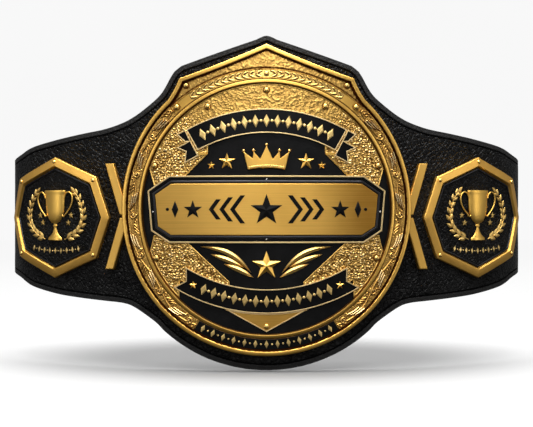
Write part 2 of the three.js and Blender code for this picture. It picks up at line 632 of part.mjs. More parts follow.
// Five-pointed star whose facets meet at a raised middle
function star(radius, back, front, peak) {
  const points = Array.from({ length: 10 }, (_, i) => {
    const reach = i % 2 ? radius * STAR_WAIST : radius;
    const angle = Math.PI / 2 + i * Math.PI / 5;
    return point(reach * Math.cos(angle), reach * Math.sin(angle));
  });
  const corners = [];
  const rim = (i, level) => new THREE.Vector3(points[i % 10].x, points[i % 10].y, level);
  for (let i = 0; i < 10; i += 1) {
    corners.push(rim(i, front), rim(i + 1, front), new THREE.Vector3(0, 0, peak));
    corners.push(rim(i + 1, back), rim(i, back), new THREE.Vector3(0, 0, back));
    corners.push(rim(i, back), rim(i + 1, back), rim(i + 1, front));
    corners.push(rim(i, back), rim(i + 1, front), rim(i, front));
  }
  return new THREE.BufferGeometry().setFromPoints(corners);
}

// Stars of the right half and the middle, in shares of the field's radius from the ring's centre
const STARS = [
  { name: 'star', along: 0.311, up: 0.377, radius: STAR_RADIUS },
  { name: 'small_star', along: 0.436, up: 0.348, radius: SMALL_STAR_RADIUS },
  { name: 'lower_star', along: 0, up: -0.455, radius: LOWER_STAR_RADIUS },
];

function stars() {
  const place = (name, spot, radius, back) => {
    const front = back + STAR_EDGE;
    const geometry = star(radius, back, front, front + STAR_EDGE + STAR_PEAK * radius / LOWER_STAR_RADIUS);
    const sides = spot.x ? [['_left', -1], ['_right', 1]] : [['', 0]];
    sides.forEach(([suffix, side]) => {
      addPiece(name + suffix, geometry.clone().translate(side * spot.x, spot.y, 0), GOLD, false);
    });
  };
  STARS.forEach(({ name, along, up, radius }) => {
    place(name, point(along * FIELD_RADIUS, RING_LIFT + up * FIELD_RADIUS), radius, FIELD_BACK);
  });
  const middle = LOWER_RIBBON_RADIUS - RIBBON_HEIGHT / 2;
  const angle = LOWER_RIBBON_HALF_ANGLE - (RIBBON_NOTCH + 2 * SMALL_STAR_RADIUS) / middle;
  const spot = polar(0, LOWER_RIBBON_MIDDLE, middle, -Math.PI / 2 + angle);
  place('ribbon_star', spot, SMALL_STAR_RADIUS, RELIEF_BACK + RIBBON_THICKNESS + GAP);
}

// Feathers of the right side: their tips from the ring's centre, and how far their two edges
// bow up from the line between the tips, all in shares of the field's radius
const FEATHERS = [
  { outer: [0.525, -0.305], inner: [0.12, -0.513], upper: 0.079, lower: 0.039 },
  { outer: [0.442, -0.364], inner: [0.175, -0.47], upper: 0.027, lower: -0.012 },
  { outer: [0.336, -0.441], inner: [0.102, -0.55], upper: 0.028, lower: -0.011 },
];

function feather({ outer, inner, upper, lower }) {
  const steps = 6;
  const tip = ([along, up]) => point(along * FIELD_RADIUS, RING_LIFT + up * FIELD_RADIUS);
  const start = tip(outer);
  const line = tip(inner).sub(start);
  const across = point(-line.y, line.x).normalize().multiplyScalar(-1);
  const curve = (bow) => Array.from({ length: steps + 1 }, (_, i) => {
    const share = i / steps;
    const rise = bow * FIELD_RADIUS * 4 * share * (1 - share);
    return start.clone().addScaledVector(line, share).addScaledVector(across, rise);
  });
  const high = curve(upper);
  const low = curve(lower);
  const ridge = curve(lower + (upper - lower) * 0.6);
  const lift = (p, level) => new THREE.Vector3(p.x, p.y, level);
  const back = FIELD_BACK;
  const front = FIELD_BACK + FEATHER_EDGE;
  const corners = [];
  const quad = (a, b, c, d) => corners.push(a, b, c, a, c, d);
  for (let i = 0; i < steps; i += 1) {
    const [crest, next] = [i, i + 1].map((k) => lift(ridge[k], k % steps ? front + FEATHER_RIDGE : front));
    quad(lift(high[i], front), lift(high[i + 1], front), next, crest);
    quad(crest, next, lift(low[i + 1], front), lift(low[i], front));
    quad(lift(low[i], front), lift(low[i + 1], front), lift(low[i + 1], back), lift(low[i], back));
    quad(lift(low[i], back), lift(low[i + 1], back), lift(high[i + 1], back), lift(high[i], back));
    quad(lift(high[i], back), lift(high[i + 1], back), lift(high[i + 1], front), lift(high[i], front));
  }
  return new THREE.BufferGeometry().setFromPoints(corners);
}

function feathers() {
  FEATHERS.forEach((row, i) => {
    const right = feather(row);
    addPiece(`feather_left_${i + 1}`, flipped(right), GOLD, false);
    addPiece(`feather_right_${i + 1}`, right, GOLD, false);
  });
}

// Dome-headed rivets of the right half and the middle: the angle from straight up, the
// distance from the ring's centre, and the level of what each stands on
const RIVETS = [
  { name: 'rivet_top', angle: 0, reach: FIELD_RADIUS - 6.1, level: FIELD_FRONT },
  { name: 'rivet_upper', angle: 29.5, reach: FIELD_RADIUS - 6.6, level: FIELD_FRONT },
  { name: 'rivet_side_upper', angle: 68.8, reach: FIELD_RADIUS - 4.4, level: FIELD_FRONT },
  { name: 'rivet_side_lower', angle: 114.3, reach: FIELD_RADIUS - 3.6, level: FIELD_FRONT },
  { name: 'rivet_bottom', angle: 180, reach: FIELD_RADIUS - 6.8, level: FIELD_BACK + SHIELD_THICKNESS },
  { name: 'rivet_ring', angle: 41, reach: INNER_RIM_RADIUS + BAND_WIDTH / 2, level: BAND_LEVEL + TITLE_BAND_RISE },
  { name: 'rivet_corner', angle: 32.9, reach: RING_RADIUS + 0.4, level: PLATE_FLOOR },
];

function rivets() {
  RIVETS.forEach(({ name, angle, reach, level }) => {
    const back = level + GAP;
    const spot = polar(0, RING_LIFT, reach, Math.PI / 2 - THREE.MathUtils.degToRad(angle));
    const dome = [point(0, 0), point(RIVET_RADIUS, 0), point(RIVET_RADIUS * 0.75, RIVET_RISE * 0.75),
      point(0, RIVET_RISE)];
    const sides = angle % 180 ? [['_left', -1], ['_right', 1]] : [['', 0]];
    sides.forEach(([suffix, side]) => {
      const head = new THREE.LatheGeometry(dome, 10).rotateX(Math.PI / 2);
      addPiece(name + suffix, head.translate(side * spot.x, spot.y, back), GOLD, false);
    });
  });
}

// Pairs of slanted bars that point at the middle, cut off along the ring
function chevronBars() {
  const back = PLATE_BACK;
  const front = back + BAR_THICKNESS;
  const ringCut = new THREE.CylinderGeometry(RING_RADIUS + GAP, RING_RADIUS + GAP, 60, 72)
    .rotateX(Math.PI / 2).translate(0, RING_LIFT, 0);
  [['upper', 1], ['lower', -1]].forEach(([level, side]) => {
    const outline = [
      point(BAR_FOOT, side * BAR_PART), point(BAR_FOOT + BAR_WIDTH, side * BAR_PART),
      point(BAR_FOOT + BAR_SLANT + BAR_WIDTH, side * (BAR_PART + BAR_HEIGHT)),
      point(BAR_FOOT + BAR_SLANT, side * (BAR_PART + BAR_HEIGHT)),
    ];
    const right = cut(slab(outline, back, front), ringCut);
    addPiece(`chevron_bar_${level}_left`, flipped(right), GOLD);
    addPiece(`chevron_bar_${level}_right`, right, GOLD);
  });
}

function sideOutline(shrink) {
  const half = [
    point(0, SIDE_HALF_HEIGHT), point(SIDE_CORNER_ALONG, SIDE_CORNER_UP), point(SIDE_HALF_WIDTH, 0),
    point(SIDE_CORNER_ALONG, -SIDE_CORNER_UP), point(0, -SIDE_HALF_HEIGHT),
  ];
  const outline = [...half, ...mirrored(half.slice(1, -1))];
  return moved(shrink ? inset(outline, shrink) : outline, SIDE_AT, -SIDE_DROP);
}

const SIDE_FLOOR = PLATE_BACK + SIDE_TRAY;
const SIDE_PANEL_FRONT = SIDE_FLOOR + GAP + SIDE_PANEL_THICKNESS;

// Octagonal tray with a raised frame and rivet heads at five of its corners
function sideFrame() {
  const frameFront = SIDE_FLOOR + SIDE_FRAME_RISE;
  const middle = sideOutline(SIDE_FRAME_WIDTH / 2);
  const heads = [0, 1, 3, 5, 7].map((i) => new THREE.SphereGeometry(SIDE_RIVET_RADIUS, 10, 6)
    .translate(middle[i].x, middle[i].y, frameFront));
  return join(
    slab(sideOutline(0), PLATE_BACK, SIDE_FLOOR),
    slab(sideOutline(0), PLATE_BACK + SIDE_TRAY / 2, frameFront, [sideOutline(SIDE_FRAME_WIDTH)]),
    ...heads,
  );
}

// Profile of the cup from the foot up, in shares of its mouth's radius and its height
const CUP_PROFILE = [
  { radius: 0.63, up: 0 }, { radius: 0.6, up: 0.05 }, { radius: 0.3, up: 0.12 }, { radius: 0.13, up: 0.21 },
  { radius: 0.22, up: 0.3 }, { radius: 0.14, up: 0.34 }, { radius: 0.46, up: 0.4 }, { radius: 0.68, up: 0.51 },
  { radius: 0.82, up: 0.72 }, { radius: 0.9, up: 0.9 }, { radius: 1, up: 1 },
];

function cup() {
  const back = SIDE_PANEL_FRONT + GAP;
  const profile = CUP_PROFILE.map(({ radius, up }) => point(radius * CUP_MOUTH_RADIUS, CUP_FOOT + up * CUP_HEIGHT));
  const closed = [point(0, profile[0].y), ...profile, point(0, profile.at(-1).y)];
  const body = new THREE.LatheGeometry(closed, 12).scale(1, 1, CUP_DEPTH_SHARE);
  const front = new THREE.BoxGeometry(100, 100, 20).translate(0, 0, 10);
  const loopTop = CUP_FOOT + CUP_HEIGHT * 0.93;
  const loopLow = CUP_FOOT + CUP_HEIGHT * 0.48;
  const handle = (side) => {
    const path = (shrink) => new THREE.CubicBezierCurve(
      point(side * CUP_MOUTH_RADIUS * 0.8, loopTop - shrink),
      point(side * (HANDLE_REACH * 1.22 - shrink), loopTop + HANDLE_WIRE - shrink * 2),
      point(side * (HANDLE_REACH * 1.1 - shrink), loopLow + shrink * 2),
      point(side * CUP_MOUTH_RADIUS * 0.5, loopLow + shrink)).getPoints(9);
    return slab([...path(0), ...path(HANDLE_WIRE).reverse()], 0, HANDLE_WIRE);
  };
  return join(keep(body, front), handle(1), handle(-1)).translate(SIDE_AT, -SIDE_DROP, back);
}

// Route of a laurel branch from its foot up, in shares of the laurel's half width and height
const LAUREL_ROUTE = [
  { along: 0.36, up: -0.85 }, { along: 0.68, up: -0.66 }, { along: 0.91, up: -0.37 }, { along: 1, up: 0.02 },
  { along: 0.95, up: 0.45 }, { along: 0.83, up: 0.8 }, { along: 0.7, up: 1 },
];

function laurelBranch() {
  const route = new THREE.SplineCurve(LAUREL_ROUTE
    .map(({ along, up }) => point(along * LAUREL_HALF_WIDTH, up * LAUREL_HALF_HEIGHT)));
  const stemPoints = route.getPoints(10);
  const beside = (side) => stemPoints.map((p, i) => {
    const ahead = route.getTangent(i / 10);
    return p.clone().add(point(-ahead.y, ahead.x).multiplyScalar(side * LAUREL_STEM / 2));
  });
  const stem = slab([...beside(1), ...beside(-1).reverse()], 0, LEAF_RISE * 0.6);
  const leaf = (share, turn) => {
    const along = route.getTangent(share);
    const ahead = along.angle() + turn;
    const aside = point(-along.y, along.x).multiplyScalar(Math.sign(turn) * LAUREL_STEM / 4);
    const root = route.getPoint(share).add(aside);
    const outline = [point(0, 0), point(LEAF_LENGTH * 0.4, -LEAF_WIDTH / 2), point(LEAF_LENGTH, 0),
      point(LEAF_LENGTH * 0.4, LEAF_WIDTH / 2)];
    return slab(outline, 0, LEAF_RISE).rotateZ(ahead).translate(root.x, root.y, 0);
  };
  const shares = Array.from({ length: LEAF_PAIRS }, (_, i) => 0.08 + 0.86 * i / (LEAF_PAIRS - 1));
  const leaves = shares.flatMap((share) => [leaf(share, 0.62), leaf(share, -0.62)]);
  return join(stem, ...leaves, leaf(0.98, 0));
}

function sidePlates() {
  const panel = slab(sideOutline(SIDE_FRAME_WIDTH + GAP), SIDE_FLOOR + GAP, SIDE_PANEL_FRONT);
  const branch = laurelBranch();
  const onPanel = (geometry) => geometry.translate(SIDE_AT, -SIDE_DROP, SIDE_PANEL_FRONT + GAP);
  const pieces = [
    ['side_frame', sideFrame(), GOLD, true],
    ['side_panel', panel, HIDE, true],
    ['trophy_cup', cup(), GOLD, false],
    ['laurel_inner', onPanel(flipped(branch)), GOLD, false],
    ['laurel_outer', onPanel(branch), GOLD, false],
  ];
  pieces.forEach(([name, geometry, finish, sliced]) => {
    addPiece(`${name}_left`, flipped(geometry), finish, sliced);
    addPiece(`${name}_right`, geometry, finish, sliced);
  });
}

strap();
pressStuds();
mainPlate();
filigree();
lowerPanel();
hammeredGrounds();
nameplate();
upperRibbon();
lowerRibbon();
shieldTip();
crown();
stars();
feathers();
rivets();
chevronBars();
sidePlates();

export default belt;
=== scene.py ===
"""Looks of the championship title belt: leather, gold castings, enamel and stitching.

Each piece is drawn flat in millimetres (x along the belt, y up, level outward from the inner
face of the leather) and wrapped round the waist by the same three arcs as the frame's solids.
"""

import math

import bpy
import numpy as np
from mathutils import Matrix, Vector, geometry


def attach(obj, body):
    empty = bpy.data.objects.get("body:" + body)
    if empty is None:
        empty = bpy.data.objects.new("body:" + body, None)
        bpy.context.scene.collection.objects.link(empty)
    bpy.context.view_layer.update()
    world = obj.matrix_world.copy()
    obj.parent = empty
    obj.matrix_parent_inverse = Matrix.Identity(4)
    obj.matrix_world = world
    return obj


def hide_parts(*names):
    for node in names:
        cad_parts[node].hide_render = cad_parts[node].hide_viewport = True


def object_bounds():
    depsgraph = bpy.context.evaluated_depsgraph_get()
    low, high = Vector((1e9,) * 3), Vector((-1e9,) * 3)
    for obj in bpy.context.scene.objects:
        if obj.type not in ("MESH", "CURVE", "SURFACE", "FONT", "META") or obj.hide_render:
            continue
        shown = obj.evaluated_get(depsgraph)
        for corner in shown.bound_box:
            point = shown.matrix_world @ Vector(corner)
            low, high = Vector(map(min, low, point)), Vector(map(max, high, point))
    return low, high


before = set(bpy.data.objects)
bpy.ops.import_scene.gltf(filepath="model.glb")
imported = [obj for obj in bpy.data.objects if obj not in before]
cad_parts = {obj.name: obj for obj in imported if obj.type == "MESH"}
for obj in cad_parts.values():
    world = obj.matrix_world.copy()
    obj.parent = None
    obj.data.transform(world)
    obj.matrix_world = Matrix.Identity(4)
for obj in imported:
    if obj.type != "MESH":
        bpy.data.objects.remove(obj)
CAD_BOX = [list(corner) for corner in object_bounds()]

METRE = 0.001
TAU = 2 * math.pi

# Waist oval
FRONT_RADIUS = 400.0
FRONT_HALF_LENGTH = 232.0
SIDE_RADIUS = 78.0
SIDE_END_ANGLE = math.radians(150)

# Leather strap
LEATHER = 3.0
TAIL_HALF_HEIGHT = 50.0
TAIL_CORNER = 14.0
OVERLAP = 96.0
FLAP_RISE_LENGTH = 70.0
EDGE_ROUND = 0.9
CREASE_INSET = 2.0
STITCH_INSET = 5.2
CHANNEL_HALF_WIDTH = 1.0
CHANNEL_DEPTH = 1.1
STITCH_DEPTH = 1.0
STITCH_LENGTH = 3.0
STITCH_PITCH = 4.2
THREAD_RADIUS = 0.42

# Main plate
RING_RADIUS = 131.5
RING_LIFT = 7.0
PEAK_RISE = 15.4
SHOULDER_RISE = 8.9
SHOULDER_ANGLE = math.radians(33.4)
CROWN_MEET_ANGLE = math.radians(42)
CROWN_MARGIN = 8.5
RING_MARGIN = 13.5
PLATE_THICKNESS = 3.0
RIM_WIDTH = 4.6
RIM_RISE = 3.7
GROOVE_WIDTH = 1.2
BAND_WIDTH = 9.6
BAND_RISE = 1.5
TITLE_BAND_RISE = 1.0
INNER_RIM_WIDTH = 4.2
TITLE_BAND_HALF_ANGLE = math.radians(43)
LOWER_PANEL_HALF_ANGLE = math.radians(30.5)
LOWER_PANEL_THICKNESS = 0.9
FILIGREE_PITCHES = 6
GARLAND_HALF_ANGLE = math.radians(34)
GARLAND_PAIRS = 11

# Medallion inside the ring
FIELD_THICKNESS = 1.0
GROUND_LIP = 0.7
NAMEPLATE_SIDE_CLEARANCE = 5.5
NAMEPLATE_HEIGHT = 60.4
NAMEPLATE_DROP = 0.6
NAMEPLATE_CORNER_LENGTH = 20.0
NAMEPLATE_CORNER_HEIGHT = 13.4
NAMEPLATE_LEAN = 3.3
NAMEPLATE_THICKNESS = 1.2
NAMEPLATE_EDGE_WIDTH = 1.4
NAMEPLATE_EDGE_RISE = 0.7
NAMEPLATE_BORDER = 7.2
NAMEPLATE_PANEL_THICKNESS = 1.2
LIP_REACH = 2.9
LIP_WIDTH = 2.5
PIN_INSET = 3.6
PIN_RADIUS = 0.9
PIN_RISE = 0.7
RIBBON_THICKNESS = 1.4
RIBBON_HEIGHT = 21.6
UPPER_RIBBON_RADIUS = 146.3
UPPER_RIBBON_CLEARANCE = 22.7
UPPER_RIBBON_HALF_WIDTH = 71.0
LOWER_RIBBON_RADIUS = 161.0
LOWER_RIBBON_CLEARANCE = 18.3
LOWER_RIBBON_HALF_WIDTH = 82.4
RIBBON_NOTCH = 7.0
TRIM_WIDTH = 1.0
CROWN_WIDTH = 32.4
CROWN_HEIGHT = 17.8
CROWN_CLEARANCE = 4.8
CROWN_THICKNESS = 1.8
BALL_RADIUS = 1.5
STAR_RADIUS = 7.6
SMALL_STAR_RADIUS = 3.6
LOWER_STAR_RADIUS = 13.0
STAR_EDGE = 0.8
STAR_PEAK = 1.6
STAR_WAIST = 0.4
FEATHER_EDGE = 0.7
FEATHER_RIDGE = 1.7
SHIELD_HALF_WIDTH = 37.0
SHIELD_CLEARANCE = 1.7
SHIELD_THICKNESS = 1.2
RIVET_RADIUS = 2.5
RIVET_RISE = 2.0

# Bars and side plates
BAR_WIDTH = 8.6
BAR_HEIGHT = 47.5
BAR_SLANT = 15.0
BAR_TUCK = 5.5
BAR_PART = 1.2
BAR_THICKNESS = 4.2
SIDE_CLEARANCE = 10.9
SIDE_HALF_WIDTH = 60.5
SIDE_HALF_HEIGHT = 56.8
SIDE_CORNER_ALONG = 46.8
SIDE_CORNER_UP = 37.5
SIDE_DROP = 1.2
SIDE_TRAY = 1.5
SIDE_FRAME_WIDTH = 8.6
SIDE_FRAME_RISE = 3.4
SIDE_PANEL_THICKNESS = 0.9
SIDE_RIVET_RADIUS = 2.2
CUP_HEIGHT = 47.0
CUP_FOOT = -21.2
CUP_MOUTH_RADIUS = 12.6
CUP_DEPTH_SHARE = 0.26
LAUREL_HALF_WIDTH = 32.4
LAUREL_HALF_HEIGHT = 24.1
LEAF_PAIRS = 9
LEAF_LENGTH = 8.2
LEAF_WIDTH = 4.1
LEAF_RISE = 1.0
LEAF_TURN = 0.52
TWIG_RADIUS = 0.5
HANDLE_RADIUS = 0.7

# Press studs
STUD_RADIUS = 7.0
STUD_RISE = 2.4
STUD_SHANK_RADIUS = 2.4
STUD_COLUMN_PITCH = 48.0
STUD_ROW_PITCH = 52.0

GAP = 0.3

# Levels and places that follow from the sizes
PLATE_BACK = LEATHER + GAP
PLATE_FLOOR = PLATE_BACK + PLATE_THICKNESS
FIELD_BACK = PLATE_FLOOR + GAP
FIELD_FRONT = FIELD_BACK + FIELD_THICKNESS
RELIEF_BACK = FIELD_FRONT + GAP
NAMEPLATE_FRONT = RELIEF_BACK + NAMEPLATE_THICKNESS
BAND_RADIUS = RING_RADIUS - RIM_WIDTH - GROOVE_WIDTH
INNER_RIM_RADIUS = BAND_RADIUS - BAND_WIDTH
FIELD_RADIUS = INNER_RIM_RADIUS - INNER_RIM_WIDTH
BAND_LEVEL = PLATE_FLOOR + BAND_RISE
RIM_LEVEL = PLATE_FLOOR + RIM_RISE
PEAK_HEIGHT = RING_LIFT + RING_RADIUS + PEAK_RISE
NAMEPLATE_HALF_LENGTH = FIELD_RADIUS - NAMEPLATE_SIDE_CLEARANCE
NAMEPLATE_TOP = RING_LIFT - NAMEPLATE_DROP + NAMEPLATE_HEIGHT / 2
NAMEPLATE_BOTTOM = NAMEPLATE_TOP - NAMEPLATE_HEIGHT
UPPER_RIBBON_MIDDLE = RING_LIFT + FIELD_RADIUS - UPPER_RIBBON_CLEARANCE - UPPER_RIBBON_RADIUS
UPPER_RIBBON_HALF_ANGLE = math.asin(UPPER_RIBBON_HALF_WIDTH / UPPER_RIBBON_RADIUS)
LOWER_RIBBON_MIDDLE = RING_LIFT - FIELD_RADIUS + LOWER_RIBBON_CLEARANCE + LOWER_RIBBON_RADIUS
LOWER_RIBBON_HALF_ANGLE = math.asin(LOWER_RIBBON_HALF_WIDTH / LOWER_RIBBON_RADIUS)
SHIELD_POINT = RING_LIFT - FIELD_RADIUS + SHIELD_CLEARANCE
CROWN_FOOT = NAMEPLATE_TOP + CROWN_CLEARANCE
BAR_FOOT = RING_RADIUS - BAR_TUCK
SIDE_AT = BAR_FOOT + BAR_WIDTH + SIDE_CLEARANCE + SIDE_HALF_WIDTH
SIDE_MIDDLE = np.array([SIDE_AT, -SIDE_DROP])
SIDE_FLOOR = PLATE_BACK + SIDE_TRAY
SIDE_PANEL_FRONT = SIDE_FLOOR + GAP + SIDE_PANEL_THICKNESS

FRONT_ANGLE = FRONT_HALF_LENGTH / FRONT_RADIUS
BACK_RADIUS = (
    FRONT_RADIUS * math.sin(FRONT_ANGLE)
    + SIDE_RADIUS * (math.sin(SIDE_END_ANGLE) - math.sin(FRONT_ANGLE))
) / math.sin(SIDE_END_ANGLE)
SIDE_LENGTH = SIDE_RADIUS * (SIDE_END_ANGLE - FRONT_ANGLE)
BACK_LENGTH = BACK_RADIUS * (math.pi - SIDE_END_ANGLE)
HALF_LOOP = FRONT_HALF_LENGTH + SIDE_LENGTH + BACK_LENGTH
STRAP_END = HALF_LOOP + OVERLAP / 2


def outward(angle):
    return np.stack([np.sin(angle), -np.cos(angle)], axis=-1)


SIDE_CENTRE = outward(FRONT_ANGLE) * (FRONT_RADIUS - SIDE_RADIUS)
BACK_CENTRE = SIDE_CENTRE + outward(SIDE_END_ANGLE) * (SIDE_RADIUS - BACK_RADIUS)
WAIST_MIDDLE = (BACK_CENTRE[1] + BACK_RADIUS - FRONT_RADIUS) / 2


def smooth_step(value, low, high):
    share = np.clip((value - low) / (high - low), 0, 1)
    return share * share * (3 - 2 * share)


def wrap(points):
    """Takes flat points (along, up, level) in millimetres to their places in metres."""
    along, up, level = np.asarray(points, float).T
    length = np.abs(along)
    parts = [length > FRONT_HALF_LENGTH + SIDE_LENGTH, length > FRONT_HALF_LENGTH]
    angle = np.select(
        parts,
        [
            SIDE_END_ANGLE + (length - FRONT_HALF_LENGTH - SIDE_LENGTH) / BACK_RADIUS,
            FRONT_ANGLE + (length - FRONT_HALF_LENGTH) / SIDE_RADIUS,
        ],
        length / FRONT_RADIUS,
    )
    radius = np.select(parts, [BACK_RADIUS, SIDE_RADIUS], FRONT_RADIUS)
    on_back, on_side = (part[:, None] for part in parts)
    centre = np.where(on_back, BACK_CENTRE, np.where(on_side, SIDE_CENTRE, 0.0))
    rise_start = HALF_LOOP - OVERLAP / 2 - FLAP_RISE_LENGTH
    lift = (LEATHER + GAP) * smooth_step(along, rise_start, rise_start + FLAP_RISE_LENGTH - 16)
    place = centre + outward(angle) * (radius + level + lift)[:, None]
    side = np.where(along < 0, -1.0, 1.0)
    return np.stack([side * place[:, 0], place[:, 1] - WAIST_MIDDLE, up], axis=1) * METRE


# Flat outlines


def polar(x, y, radius, angle):
    return np.array([x + radius * math.cos(angle), y + radius * math.sin(angle)])


def arc(x, y, radius, start, end, steps):
    angles = np.linspace(start, end, steps + 1)
    return np.stack([x + radius * np.cos(angles), y + radius * np.sin(angles)], axis=1)


def circle(x, y, radius, steps):
    return arc(x, y, radius, 0, TAU, steps)[:-1]


def mirrored(points):
    return (np.asarray(points) * [-1, 1])[::-1]


def both_halves(right):
    """Closes an outline whose first and last points lie on the middle line."""
    return np.concatenate([right, mirrored(right[1:-1])])


def unit(vectors):
    return vectors / np.linalg.norm(vectors, axis=-1, keepdims=True)


def turned_left(vectors):
    return np.stack([-vectors[..., 1], vectors[..., 0]], axis=-1)


def bow(start, middle, end, steps):
    """A quadratic curve between two points, pulled towards a third."""
    share = np.linspace(0, 1, steps + 1)[:, None]
    return (1 - share) ** 2 * start + 2 * share * (1 - share) * middle + share**2 * end


def spline(points, step):
    """A smooth curve through chosen points, with a point about every step."""
    points = np.asarray(points, float)
    padded = np.concatenate([[2 * points[0] - points[1]], points, [2 * points[-1] - points[-2]]])
    made = []
    for a, b, c, d in zip(padded, padded[1:], padded[2:], padded[3:]):
        count = max(1, int(np.linalg.norm(c - b) / step))
        t = np.arange(count)[:, None] / count
        bend = (2 * a - 5 * b + 4 * c - d) * t**2 + (3 * b - a - 3 * c + d) * t**3
        made.append(0.5 * (2 * b + (c - a) * t + bend))
    return np.concatenate([*made, points[-1:]])


def anticlockwise(outline):
    outline = np.asarray(outline, float)
    x, y = outline.T
    return outline if np.sum(x * np.roll(y, -1) - np.roll(x, -1) * y) > 0 else outline[::-1]


def resampled(outline, step):
    """The closed outline with points added on its long sides."""
    made = []
    for here, there in zip(outline, np.roll(outline, -1, axis=0)):
        count = max(1, math.ceil(np.linalg.norm(there - here) / step))
        made.append(here + (there - here) * np.arange(count)[:, None] / count)
    return np.concatenate(made)


def distance_to(points, outline):
    """Distance from each point to the nearest side of a closed outline."""
    nearest = np.full(len(points), np.inf)
    for start, end in zip(outline, np.roll(outline, -1, axis=0)):
        side = end - start
        share = np.clip((points - start) @ side / max(side @ side, 1e-12), 0, 1)
        nearest = np.minimum(nearest, np.hypot(*(points - start - share[:, None] * side).T))
    return nearest


def corner_moves(outline, least):
    """How far each corner moves when the sides of an anticlockwise outline move inwards by one."""
    before = unit(outline - np.roll(outline, 1, axis=0))
    after = unit(np.roll(outline, -1, axis=0) - outline)
    normal = unit(turned_left(before + after))
    return normal / np.maximum(least, np.sum(normal * turned_left(after), axis=1))[:, None]


def inset(outline, distance):
    """Moves the sides of an outline inwards and drops the corners that fold over."""
    outline = anticlockwise(outline)
    moved = outline + corner_moves(outline, 0.3) * distance
    return moved[distance_to(moved, outline) > abs(distance) * 0.985]


def offset(outline, distance):
    """Moves the sides of an outline inwards and keeps the number of corners."""
    return outline + corner_moves(outline, 0.45) * distance


def inside(points, outline):
    x, y = np.asarray(points).T
    within = np.zeros(len(x), bool)
    for (x0, y0), (x1, y1) in zip(outline, np.roll(outline, -1, axis=0)):
        with np.errstate(divide="ignore", invalid="ignore"):
            at = (x1 - x0) * (y - y0) / (y1 - y0) + x0
        within ^= ((y0 > y) != (y1 > y)) & (x < at)
    return within


def scatter_grid(outline, spacing):
    """Staggered and slightly uneven points inside an outline."""
    low, high = outline.min(0), outline.max(0)
    rows = np.arange(low[1], high[1], spacing * 0.87)
    columns = np.arange(low[0], high[0], spacing)
    grid = [(x + (k % 2) * spacing / 2, y) for k, y in enumerate(rows) for x in columns]
    grid = np.array(grid).reshape(-1, 2)
    grid += np.random.default_rng(1).uniform(-0.12, 0.12, grid.shape) * spacing
    return grid[inside(grid, outline)]


def clear_of(grid, lines, distance):
    return grid[np.min([distance_to(grid, line) for line in lines], axis=0) > distance]


# Meshes


def at_level(flat, level):
    return np.column_stack([flat, np.broadcast_to(level, len(flat))])


def new_piece(name, places, faces, materials, slots, smooth_angle):
    mesh = bpy.data.meshes.new(name)
    mesh.from_pydata(places, [], faces)
    for material in materials:
        mesh.materials.append(material)
    mesh.polygons.foreach_set("material_index", np.asarray(slots, np.int32))
    mesh.polygons.foreach_set("use_smooth", np.ones(len(mesh.polygons), bool))
    mesh.validate()
    mesh.update()
    mesh.set_sharp_from_angle(angle=math.radians(smooth_angle))
    piece = bpy.data.objects.new(name, mesh)
    bpy.context.scene.collection.objects.link(piece)
    return piece


class Shape:
    """Flat vertices and faces that are gathered first and wrapped into one mesh at the end."""

    def __init__(self):
        self.points = []
        self.faces = []
        self.slots = []
        self.painted_shadings_and_tones = []

    # depth gives each point's painted shading and tone: painted shade above 0, painted highlight below 0.
    def add(self, points, faces, slot=0, flip=False, depth=None):
        base = len(self.points)
        self.points.extend(np.asarray(points, float).tolist())
        self.painted_shadings_and_tones.extend(np.zeros(len(points)) if depth is None else depth)
        self.faces.extend([base + int(i) for i in (face[::-1] if flip else face)] for face in faces)
        self.slots.extend([slot] * len(faces) if np.isscalar(slot) else slot)

    def lay(self, rows, slot=0, flip=False, open_rows=False, joined=False, ends=False, depth=None):
        """A skin over rows of equal count. Joined rows meet again, and ends close a tube."""
        count, total = len(rows[0]), len(rows)
        faces = []
        for k in range(total if joined else total - 1):
            here, there = k * count, (k + 1) % total * count
            for i in range(count - open_rows):
                j = (i + 1) % count
                around = (here + j, there + j, there + i)
                faces.append((here + i, *(around[::-1] if flip else around)))
        if ends:
            last, step = (total - 1) * count, -1 if flip else 1
            faces += [range(last, last + count)[::step], range(count)[::-step]]
        self.add(np.concatenate(rows), faces, slot, depth=depth)

    def mirror(self, about=0.0):
        """The same shape on the other side of an upright line."""
        other = Shape()
        other.points = [[2 * about - x, y, z] for x, y, z in self.points]
        other.faces = [face[::-1] for face in self.faces]
        other.slots = list(self.slots)
        other.painted_shadings_and_tones = list(self.painted_shadings_and_tones)
        return other


def dress(name, shape, materials, slot, *nodes, smooth_angle=35):
    """Wraps a shape round the waist and stands it in for the frame's solids that it replaces."""
    piece = new_piece(name, wrap(shape.points), shape.faces, materials, shape.slots, smooth_angle)
    # Each point carries its painted shading and tone for the materials: painted shade above 0, painted
    # highlight below 0.
    layer = piece.data.attributes.new("hollow", "FLOAT", "POINT")
    layer.data.foreach_set("value", np.asarray(shape.painted_shadings_and_tones, np.float32))
    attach(piece, "root")
    if nodes:
        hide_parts(*nodes)


def dress_both(name, shape, materials, slot, node=None, smooth_angle=35):
    """A piece and its mirror image; the braces in their names stand for the side."""
    for side, made in (("right", shape), ("left", shape.mirror())):
        nodes = [node.format(side)] if node else []
        dress(name.format(side), made, materials, slot, *nodes, smooth_angle=smooth_angle)


